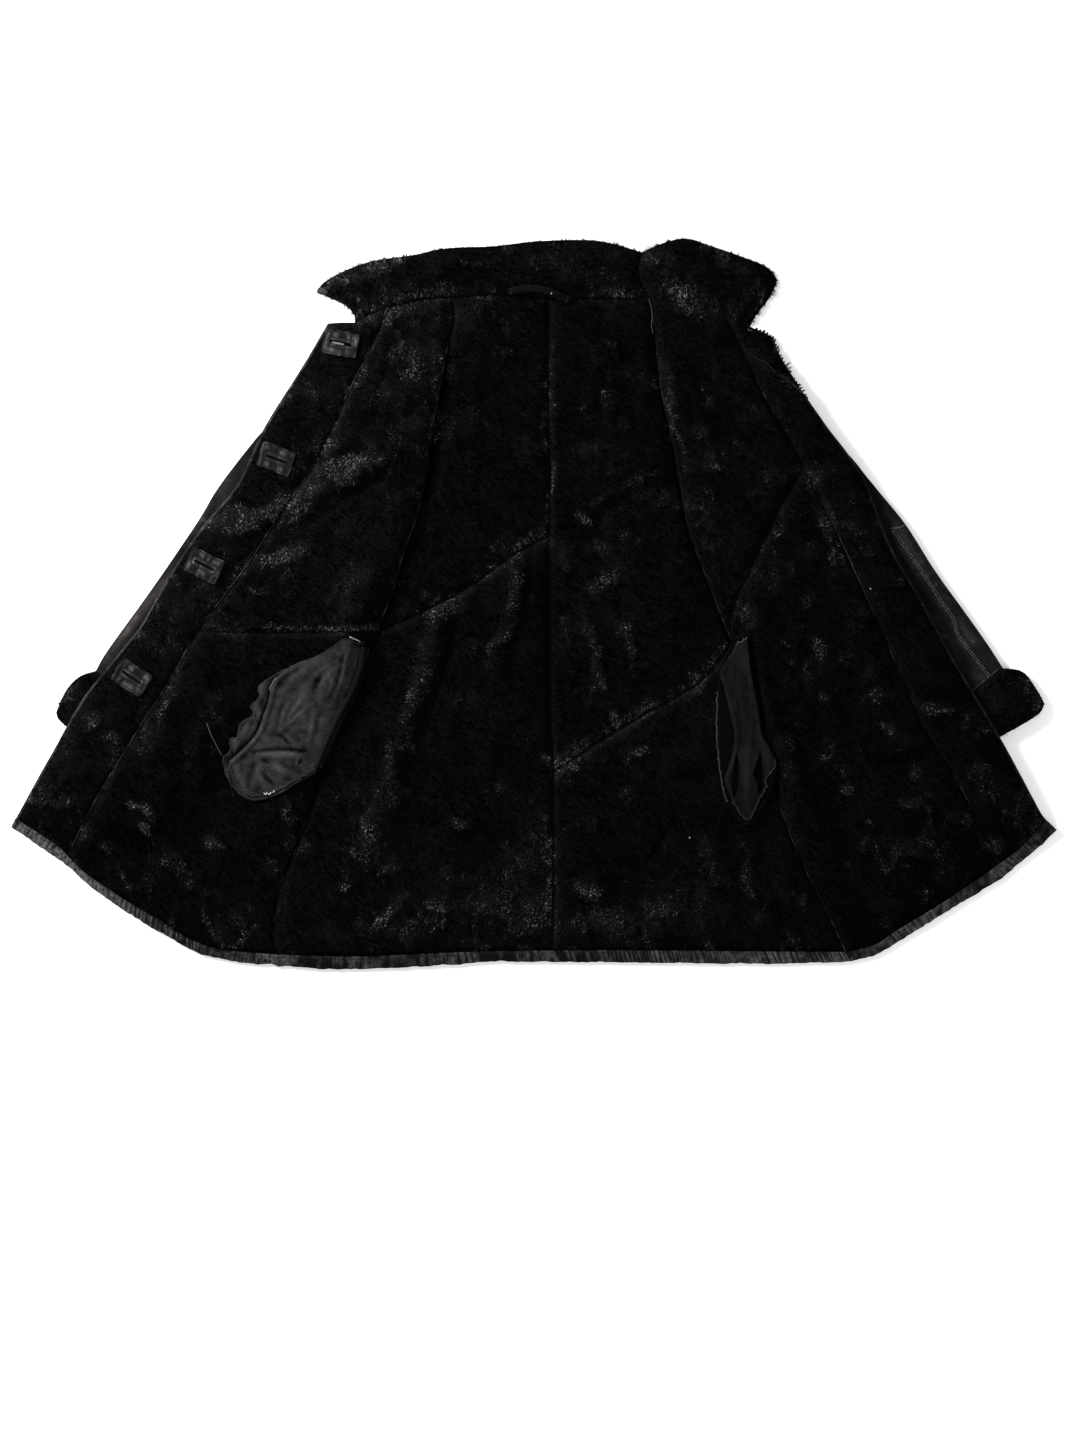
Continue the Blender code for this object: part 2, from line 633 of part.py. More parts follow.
    # The back and both fronts, panel by panel
    back_right = [
        skin("back_right_upper", neck["back right"], cross["back right"], side_right["upper"],
             centre["neck"], back_lift),
        skin("back_right_lower", cross["back right"], hem["back right"], side_right["lower"],
             joined(centre["waist"], centre["hem"]), back_lift),
    ]
    back_left = [
        skin("back_left_upper", neck["back left"], cross["back left"],
             joined(centre["neck"], centre["waist"]), side_left["upper"], back_lift),
        skin("back_left_lower", cross["back left"], hem["back left"], centre["hem"],
             side_left["lower"], back_lift),
    ]
    side_front_right = [
        skin("side_front_right_upper", neck["side right"], cross["front right"],
             princess_right["upper"], side_right["upper"], front_lift),
        skin("side_front_right_lower", cross["front right"], hem["side right"],
             princess_right["lower"], side_right["lower"], front_lift),
    ]
    side_front_left = [
        skin("side_front_left_upper", neck["side left"], cross["front left"],
             side_left["upper"], princess_left["upper"], front_lift),
        skin("side_front_left_lower", cross["front left"], hem["side left"],
             side_left["lower"], princess_left["lower"], front_lift),
    ]
    front_right = skin(
        "front_right_edge", joined(neck["free right"], neck["edge right"]), hem["edge right"],
        joined(edge_right["upper"], edge_right["lower"]),
        joined(princess_right["upper"], princess_right["lower"]), front_lift, ("left",))
    front_left = skin(
        "front_left_edge", joined(neck["edge left"], neck["free left"]), hem["edge left"],
        joined(princess_left["upper"], princess_left["lower"]),
        joined(edge_left["upper"], edge_left["lower"]), front_lift, ("right",))

    # Collar in two halves that meet left of the centre back
    join = smooth_line(COLLAR["join"], COLLAR_ROWS)
    neck_right = joined(neck["edge right"], neck["side right"], neck["back right"],
                        neck["back left"])
    neck_left = joined(neck["side left"], neck["edge left"])
    collar_right = skin(
        "collar_right", smooth_line(COLLAR["right edge"], 0, neck_right), neck_right,
        smooth_line(COLLAR["right end"], COLLAR_ROWS), join, collar_lift, ("head", "left"))
    skin("collar_left", smooth_line(COLLAR["left edge"], 0, neck_left), neck_left,
         join, smooth_line(COLLAR["left end"], COLLAR_ROWS), collar_lift, ("head", "right"))

    # Gathered binding along the hem
    edges = {
        "right_front": ("right front", joined(hem["edge right"], hem["side right"]), front_lift),
        "back": ("back", joined(hem["back right"], hem["back left"]), back_lift),
        "left_front": ("left front", joined(hem["side left"], hem["edge left"]), front_lift),
    }
    for part, (fold, line, lift) in edges.items():
        line = finer(line, GATHER["half"])
        outer = smooth_line(HEM_FOLD[fold], 0, line)
        left = smooth_line([line[0], outer[0]], 4)
        right = smooth_line([line[-1], outer[-1]], 4)
        grid = fill(line, outer, left, right)
        floor = np.zeros(grid.shape[:2])
        roof = np.zeros(grid.shape[:2])
        for r, c in np.ndindex(*floor.shape):
            floor[r, c] = lift(grid[r, c])
            rib = GATHER["rise"] * (c % 2) * (0.3, 1.0, 1.0, 0.8, 0.4)[r]
            roof[r, c] = floor[r, c] + (5.2, 7.0, 6.9, 5.2, 2.0)[r] + rib
        solid("hem_binding_" + part, drawn_in(grid, SEAM_GAP * 0.62), floor, roof)

    # What lies on the panels
    on_edge = surface_of([front_right])
    for name, (x, d, degrees) in PATCHES.items():
        shape = turned(rounded_box(PATCH["length"], PATCH["width"], PATCH["corner"]), x, d, degrees)
        patch = laid(name, shape, on_edge, 0.5, PATCH["wall"])
        slit = OPEN_SLIT if name.endswith("1") else SLIT
        pierce(patch, x, d, degrees, slit["length"], slit["width"])
    x, d, degrees = PATCHES["buttonhole_patch_1"]
    pierce(front_right, x, d, degrees, OPEN_SLIT["length"], OPEN_SLIT["width"])

    on_side = {"right": side_front_right + back_right, "left": side_front_left + back_left}
    for hand in ("right", "left"):
        below = surface_of(on_side[hand])
        for ply in ("under", "over"):
            name = "pocket_bag_" + hand + "_" + ply
            table = POCKETS[name]
            grid = fill(smooth_line(table["head"], 7), smooth_line(table["foot"], 7),
                        smooth_line(table["left"], 10), smooth_line(table["right"], 10))
            bag = laid(name, grid, below, table["stand"], POCKET_WALL, table["puff"])
            below = surface_of([bag] + on_side[hand])
            if hand == "right":
                on_bag = below
    laid("pocket_facing_right", band(FACING["line"], FACING["width"], 9), on_bag, 0.5,
         FACING["wall"])

    # Hanger loop over the collar seam
    strip = band(LOOP["line"], LOOP["width"], 8)
    on_neck = surface_of([collar_right, back_left[0], back_right[0]], 1.5)
    rise = smooth_line(LOOP["line"], 8)[:, 2]
    floor = np.zeros(strip.shape[:2])
    for r, c in np.ndindex(*floor.shape):
        floor[r, c] = on_neck(strip[r, c]) + 0.35 + rise[r]
    solid("hanger_loop", strip, floor, floor + LOOP["wall"])

    # Buttons against the hide side of the left front
    hide_side = surface_of([front_left], BUTTON["radius"], underside=True)
    for name, (x, d) in BUTTONS.items():
        top = hide_side((x, d)) - 0.35
        profile = [(0.0, -BUTTON["wall"]), (BUTTON["radius"] - 2.2, -BUTTON["wall"]),
                   (BUTTON["radius"], -BUTTON["wall"] + BUTTON["rim"]),
                   (BUTTON["radius"], -BUTTON["rim"]), (BUTTON["radius"] - 2.2, 0.0), (0.0, 0.0)]
        corners = [(x * MM, -d * MM, (top + profile[0][1]) * MM)]
        for radius, z in profile[1:-1]:
            for k in range(12):
                turn = math.tau * k / 12
                corners.append(((x + radius * math.cos(turn)) * MM,
                                (-d + radius * math.sin(turn)) * MM, (top + z) * MM))
        corners.append((x * MM, -d * MM, (top + profile[-1][1]) * MM))
        last = len(corners) - 1
        faces = []
        for k in range(12):
            nxt = (k + 1) % 12
            faces.append((0, 1 + nxt, 1 + k))
            faces.append((last, last - 12 + k, last - 12 + nxt))
            for ring in range(3):
                a, b = 1 + ring * 12, 1 + (ring + 1) * 12
                faces.append((a + k, a + nxt, b + nxt, b + k))
        add(name, corners, faces)


def centre_on_origin():
    """Moves every solid so that the middle of the whole rests on the origin."""
    pieces = list(bpy.data.objects)
    points = np.vstack([np.array([v.co for v in p.data.vertices]) for p in pieces])
    low, high = points.min(0), points.max(0)
    shift = Vector(((low[0] + high[0]) / 2, (low[1] + high[1]) / 2, low[2]))
    for piece in pieces:
        for vertex in piece.data.vertices:
            vertex.co -= shift


build()
centre_on_origin()
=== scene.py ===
"""Sheepskin coat, laid open on its back with the fur side up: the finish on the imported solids.

Plan positions are in millimetres as in the part's source: x runs out from the centre back
seam and d runs down from the collar seam. Heights are above the surface the coat rests on.
"""
import json
import math

import bmesh
import bpy
import numpy as np
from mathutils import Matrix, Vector
from mathutils.bvhtree import BVHTree

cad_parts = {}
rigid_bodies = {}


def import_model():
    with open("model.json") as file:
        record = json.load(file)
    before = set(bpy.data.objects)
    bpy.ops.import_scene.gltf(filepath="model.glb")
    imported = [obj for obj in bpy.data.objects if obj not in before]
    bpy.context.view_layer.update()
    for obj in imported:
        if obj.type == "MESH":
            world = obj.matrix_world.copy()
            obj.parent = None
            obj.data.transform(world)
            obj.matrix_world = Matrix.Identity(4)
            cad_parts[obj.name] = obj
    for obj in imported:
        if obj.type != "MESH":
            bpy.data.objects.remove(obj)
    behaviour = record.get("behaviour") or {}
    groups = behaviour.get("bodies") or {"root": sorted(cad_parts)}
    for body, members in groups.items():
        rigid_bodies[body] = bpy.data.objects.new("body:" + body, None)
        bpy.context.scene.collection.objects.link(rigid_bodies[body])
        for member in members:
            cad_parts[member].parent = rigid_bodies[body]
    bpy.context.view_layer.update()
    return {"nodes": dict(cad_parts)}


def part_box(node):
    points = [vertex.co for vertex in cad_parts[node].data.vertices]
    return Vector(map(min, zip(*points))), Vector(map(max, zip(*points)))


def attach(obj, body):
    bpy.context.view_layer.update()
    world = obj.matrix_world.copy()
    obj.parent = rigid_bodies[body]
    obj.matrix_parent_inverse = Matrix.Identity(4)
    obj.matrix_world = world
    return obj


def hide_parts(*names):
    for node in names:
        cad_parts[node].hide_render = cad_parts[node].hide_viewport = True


for old in list(bpy.data.objects):
    bpy.data.objects.remove(old, do_unlink=True)
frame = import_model()

MM = 0.001
# The frame's origin lies at plan x = -ORIGIN_X and d = ORIGIN_D
ORIGIN_X = 16.5
ORIGIN_D = 352.61

# Camera straight above, in mm: its place in the frame, the height of its field at the level of
# the coat, and its distance from there
VIEW_X = 7.2
VIEW_Y = -134.0
FIELD = 1656.0
DISTANCE = 6000.0
COAT_LEVEL = 20.0
FLOOR_LEVEL = -0.4
FLOOR_REACH = 30000.0

# Sheepskin: hide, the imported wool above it, and the blades of wool that stand out of that
HIDE = 1.3
WOOL_SHARE = 0.72
SEAM_WALL = 1.5
EDGE_WALL = 2.0
LEAST_WALL = 1.4
STEP = 6.0
END_STEPS = (1.2, 2.8, 5.0, 8.0, 12.0)
BENT_PER_MM2 = 0.14
STRAIGHT_PER_MM2 = 0.44
BLADE_LENGTH = 5.4
BLADE_WIDTH = 1.0
LOCK_SIZE = 4.6
SEAM_GAP = 0.12
SEAM_LAP = 0.9
NO_SIDE = 99.0

# Creases fade to a share of their height at their ends, over so many mm
CREASE_END = 0.35
CREASE_FADE = 26.0
# Brushed places reach so far past the sizes in their table
BRUSHED_SHEEN_REACH = 1.4
RUBBED_SHEEN_REACH = 1.9

# Sleeves and cuffs: grid step, height of the wrinkles, and room below the wool of a cuff
SLEEVE_STEP = 7.0
WRINKLE = 0.9
CUFF_WOOL = 2.6

# Hem binding: steps along and across it, and the distance from one gather to the next
HEM_STEP = 1.5
HEM_COLUMNS = 10
HEM_EACH = 4
GATHER = 8.5
GATHER_HEIGHT = 2.2

CENTRE_BACK = {
    "neck": [(0, 0), (0, 118), (2, 199), (1, 274)],
    "waist": [(1, 274), (1, 348), (2, 463), (6, 547)],
    "hem": [(6, 547), (6, 647), (5, 752)],
}
SIDE_RIGHT = {
    "upper": [(-110, -2), (-109, 24), (-117, 59), (-131, 141), (-141, 207), (-152, 254),
              (-166, 292), (-178, 335), (-198, 385)],
    "lower": [(-198, 385), (-220, 439), (-244, 493), (-261, 546), (-285, 616), (-300, 653),
              (-312, 690), (-316, 727), (-313, 757)],
}
PRINCESS_RIGHT = {
    "upper": [(-184, 9), (-204, 55), (-225, 100), (-269, 191), (-312, 256), (-347, 309),
              (-404, 385)],
    "lower": [(-404, 385), (-434, 439), (-476, 505), (-521, 580), (-554, 643)],
}
EDGE_RIGHT = {
    "upper": [(-254, 29), (-289, 89), (-328, 153), (-358, 216), (-399, 266), (-432, 314),
              (-468, 378)],
    "lower": [(-468, 378), (-505, 424), (-537, 465), (-570, 524), (-607, 588), (-614, 600)],
}
SIDE_LEFT = {
    "upper": [(118, 1), (124, 44), (131, 105), (146, 181), (160, 258), (183, 323), (212, 397)],
    "lower": [(212, 397), (230, 452), (261, 561), (274, 604), (297, 658), (317, 698), (344, 754)],
}
PRINCESS_LEFT = {
    "upper": [(205, 21), (227, 68), (255, 125), (294, 194)],
    "lower": [(294, 194), (329, 264), (366, 345), (399, 419), (440, 509), (465, 546), (521, 652)],
}
EDGE_LEFT = {
    "upper": [(259, 45), (267, 66), (290, 105), (321, 150)],
    "lower": [(321, 150), (348, 185), (367, 217), (392, 283), (427, 346), (466, 417), (503, 478),
              (529, 523), (564, 588), (573, 601)],
}
NECK = {
    "free right": [(-254, 29), (-239, 28), (-223, 28)],
    "edge right": [(-223, 28), (-202, 16), (-184, 9)],
    "side right": [(-184, 9), (-147, 1), (-110, -2)],
    "back right": [(-110, -2), (-55, -5), (0, 0)],
    "back left": [(0, 0), (60, 0), (118, 1)],
    "side left": [(118, 1), (163, 7), (205, 21)],
    "edge left": [(205, 21), (221, 26), (233, 33)],
    "free left": [(233, 33), (248, 39), (259, 45)],
}
CROSS = {
    "back right": [(-198, 385), (-159, 369), (-117, 347), (-84, 327), (-31, 290), (1, 274)],
    "back left": [(6, 547), (62, 509), (117, 476), (175, 442), (212, 397)],
    "front right": [(-404, 385), (-343, 386), (-285, 386), (-198, 385)],
    "front left": [(212, 397), (212, 363), (231, 314), (263, 248), (294, 194)],
}
HEM = {
    "edge right": [(-614, 600), (-568, 630), (-554, 643)],
    "side right": [(-554, 643), (-531, 665), (-486, 695), (-445, 719), (-413, 739), (-376, 751),
                   (-313, 757)],
    "back right": [(-313, 757), (-220, 759), (-97, 754), (5, 752)],
    "back left": [(5, 752), (117, 752), (221, 753), (344, 754)],
    "side left": [(344, 754), (378, 745), (399, 731), (461, 693), (521, 652)],
    "edge left": [(521, 652), (543, 634), (573, 601)],
}
HEM_FOLD = {
    "right_front": [(-619, 610), (-589, 631), (-561, 650), (-534, 673), (-478, 713), (-423, 746),
                    (-396, 758), (-368, 764), (-313, 770)],
    "back": [(-313, 770), (-230, 774), (-120, 769), (-64, 765), (5, 765), (156, 767), (294, 767),
             (350, 765)],
    "left_front": [(350, 765), (377, 758), (405, 742), (460, 707), (515, 674), (543, 653),
                   (570, 629), (586, 613)],
}
COLLAR = {
    "right end": [(-266, -7), (-251, 0), (-233, 9), (-224, 19), (-223, 28)],
    "right edge": [(-266, -7), (-260, -17), (-238, -30), (-202, -43), (-154, -50), (-120, -57),
                   (-64, -60), (-9, -66), (46, -67), (74, -63), (108, -53)],
    "join": [(108, -53), (103, -26), (118, 1)],
    "left edge": [(108, -53), (131, -63), (158, -69), (186, -61), (223, -48), (252, -36),
                  (265, -21)],
    "left end": [(265, -21), (256, -1), (240, 20), (233, 33)],
}
SLEEVE_RIGHT = {
    "outer": [(-126, 100), (-180, 118), (-240, 128), (-290, 134), (-322, 148), (-349, 178),
              (-382, 222), (-404, 259), (-458, 338), (-507, 406), (-521, 430)],
    "inner": [(-166, 292), (-200, 312), (-240, 345), (-300, 405), (-360, 462), (-415, 506)],
    "cuff outer": [(-521, 430), (-539, 436), (-553, 449), (-563, 467)],
    "cuff inner": [(-415, 506), (-428, 528), (-446, 552)],
    "cuff end": [(-563, 467), (-562, 488), (-505, 525), (-446, 552)],
}
SLEEVE_LEFT = {
    "outer": [(129, 92), (185, 108), (245, 122), (300, 147), (343, 178), (366, 205), (384, 227),
              (413, 263), (446, 315), (482, 365), (508, 402), (524, 427)],
    "inner": [(172, 292), (205, 312), (245, 345), (300, 400), (360, 460), (425, 507)],
    "cuff outer": [(524, 427), (547, 431), (564, 453), (572, 468)],
    "cuff inner": [(425, 507), (438, 528), (452, 546)],
    "cuff end": [(572, 468), (562, 482), (510, 512), (452, 546)],
}
# Part of each side seam that the sleeve head runs along
ARMHOLE = {"right": (0.2588, 0.8215), "left": (0.2289, 0.7711)}

PATCHES = {
    "buttonhole_patch_1": (-239, 53, -11),
    "buttonhole_patch_2": (-312, 187, -20),
    "buttonhole_patch_3": (-395, 309, -27),
    "buttonhole_patch_4": (-478, 438, -34),
}
PATCH_LENGTH = 41.0
PATCH_WIDTH = 30.0
SLIT_LENGTH = 25.0
BUTTONS = {
    "button_1": (262, 92),
    "button_2": (330, 205),
    "button_3": (385, 330),
    "button_4": (450, 448),
}
POCKETS = {
    "pocket_bag_right_under": {
        "head": [(-236, 392), (-210, 397)],
        "left": [(-236, 392), (-262, 411), (-304, 429), (-320, 439), (-333, 448), (-331, 460),
                 (-342, 471), (-337, 480), (-354, 491), (-357, 505), (-366, 510), (-364, 520),
                 (-374, 530)],
        "right": [(-210, 397), (-215, 428), (-226, 456), (-242, 486), (-255, 513), (-268, 548)],
        "foot": [(-374, 530), (-370, 551), (-358, 569), (-338, 579), (-312, 573), (-290, 560),
                 (-268, 548)],
    },
    "pocket_bag_right_over": {
        "head": [(-236, 394), (-212, 399)],
        "left": [(-236, 394), (-264, 412), (-290, 422), (-308, 433), (-318, 447), (-321, 463),
                 (-327, 481), (-334, 500), (-348, 517), (-366, 533)],
        "right": [(-212, 399), (-218, 430), (-229, 458), (-245, 488), (-257, 514), (-269, 544)],
        "foot": [(-366, 533), (-364, 550), (-354, 565), (-338, 574), (-312, 568), (-290, 555),
                 (-269, 544)],
    },
    "pocket_bag_left_under": {
        "head": [(213, 391), (229, 388)],
        "left": [(213, 391), (205, 412), (196, 436), (194, 490), (196, 530), (202, 570),
                 (214, 598)],
        "right": [(229, 388), (236, 430), (243, 470), (250, 510), (262, 530), (262, 552),
                  (250, 585)],
        "foot": [(214, 598), (226, 608), (236, 606), (250, 585)],
    },
    "pocket_bag_left_over": {
        "head": [(217, 399), (228, 393)],
        "left": [(217, 399), (213, 409), (198, 430), (203, 452), (210, 482), (214, 500),
                 (213, 520), (207, 543), (203, 556), (212, 580)],
        "right": [(228, 393), (232, 423), (236, 446), (242, 477), (246, 504), (255, 519),
                  (261, 540), (249, 556), (252, 562), (244, 576)],
        "foot": [(212, 580), (225, 599), (233, 599), (244, 576)],
    },
}
FACING_LINE = [(-209, 403), (-214, 430), (-225, 458), (-241, 487), (-253, 513), (-264, 540)]
FACING_WIDTH = 10.0
BAR_TACK = [(-227.5, 391.5), (-216.0, 396.8)]
LOOP_LINE = [(-46, -6), (-24, -10), (-2, -7), (14, -1), (25, 3)]
LOOP_WIDTH = 8.0

# Creases on the fur side: reach to each side, height (minus is a trough), line
CREASES = {
    "right front": [
        (12, 3.0, [(-351, 258), (-297, 242), (-258, 222), (-218, 203), (-175, 177)]),
        (10, -2.4, [(-335, 274), (-282, 258), (-218, 222), (-167, 190)]),
        (14, 2.0, [(-315, 311), (-288, 287), (-254, 258)]),
        (13, 2.0, [(-446, 319), (-422, 293), (-369, 272)]),
        (12, 2.2, [(-148, 52), (-156, 95), (-177, 149)]),
        (10, -1.8, [(-182, 62), (-193, 109), (-212, 159)]),
        (16, 2.0, [(-218, 149), (-270, 185), (-309, 224)]),
        (15, 1.8, [(-432, 418), (-435, 478), (-467, 545)]),
        (12, 1.8, [(-537, 608), (-511, 557), (-489, 504)]),
        (12, 2.2, [(-468, 585), (-443, 626), (-378, 668)]),
        (10, 2.0, [(-365, 740), (-389, 705), (-405, 670)]),
        (16, -1.8, [(-392, 458), (-422, 529), (-432, 593)]),
        (12, 1.6, [(-320, 355), (-343, 387), (-353, 418)]),
        (14, 1.6, [(-282, 101), (-305, 149), (-320, 189)]),
        (14, -1.6, [(-487, 628), (-440, 672), (-400, 719)]),
    ],
    "back": [
        (12, 3.2, [(-122, 345), (-134, 402), (-158, 471), (-182, 537), (-207, 608), (-218, 656)]),
        (9, -2.4, [(-104, 360), (-117, 418), (-145, 494), (-171, 569)]),
        (11, 2.4, [(-34, 290), (-39, 345), (-57, 396), (-63, 434)]),
        (9, -1.8, [(-20, 292), (-26, 355), (-44, 418)]),
        (11, 2.6, [(24, 284), (45, 323), (70, 355), (94, 401)]),
        (10, 2.4, [(37, 355), (50, 401), (64, 444)]),
        (8, 2.0, [(8, 287), (18, 312), (21, 345)]),
        (10, 2.2, [(129, 203), (83, 220), (38, 250)]),
        (10, 2.0, [(40, 252), (83, 266), (127, 284)]),
        (12, -1.8, [(51, 235), (107, 244), (146, 257)]),
        (14, 2.0, [(-76, 46), (-88, 109), (-84, 173)]),
        (12, 1.8, [(67, 54), (48, 101), (45, 149)]),
        (12, 1.6, [(107, 38), (114, 94), (107, 157)]),
        (12, 2.0, [(198, 593), (187, 644), (181, 703)]),
        (14, 1.8, [(-63, 501), (-76, 561), (-101, 628)]),
        (14, 1.6, [(-20, 735), (-15, 688), (-28, 640)]),
        (14, 1.8, [(51, 739), (57, 692), (43, 648)]),
        (14, 1.8, [(-171, 735), (-167, 692), (-186, 656)]),
        (12, -1.6, [(122, 545), (130, 608), (121, 672)]),
        (14, 1.6, [(83, 418), (130, 466), (149, 513)]),
        (12, 1.6, [(-91, 387), (-107, 458), (-133, 537)]),
        (12, -1.4, [(-123, 212), (-76, 252), (-20, 272)]),
    ],
    "left front": [
        (11, 2.4, [(309, 204), (320, 260), (331, 323)]),
        (11, 2.2, [(240, 383), (251, 466), (281, 545), (317, 616), (346, 695)]),
        (9, -2.0, [(230, 418), (238, 482), (265, 553)]),
        (12, 2.2, [(303, 391), (320, 450), (349, 515), (387, 566)]),
        (12, 2.2, [(354, 352), (370, 418), (393, 482), (427, 539)]),
        (12, -1.8, [(333, 379), (352, 450), (381, 513)]),
        (12, 2.0, [(420, 387), (457, 466), (498, 545)]),
        (11, 2.4, [(417, 475), (457, 472), (498, 480)]),
        (11, 2.0, [(151, 67), (179, 141), (194, 198)]),
        (12, 2.0, [(224, 109), (260, 149), (287, 190)]),
        (12, 1.8, [(249, 78), (289, 119), (317, 149)]),
        (12, 2.0, [(392, 653), (431, 634), (479, 608)]),
        (14, -1.6, [(312, 600), (360, 640), (415, 656)]),
        (12, 1.8, [(249, 252), (241, 307), (246, 363)]),
    ],
    "collar": [
        (11, 2.6, [(-228, -16), (-194, -28), (-167, -30)]),
        (10, 2.6, [(-82, -52), (-115, -39), (-148, -16)]),
        (9, -1.8, [(-158, -13), (-123, -6), (-76, -17)]),
        (12, 2.0, [(-60, -22), (4, -17), (75, -20)]),
        (10, 2.0, [(164, -39), (195, -16), (224, 21)]),
        (10, 1.8, [(172, -52), (210, -41), (248, -13)]),
        (9, -1.6, [(162, -16), (187, 8), (208, 29)]),
    ],
}
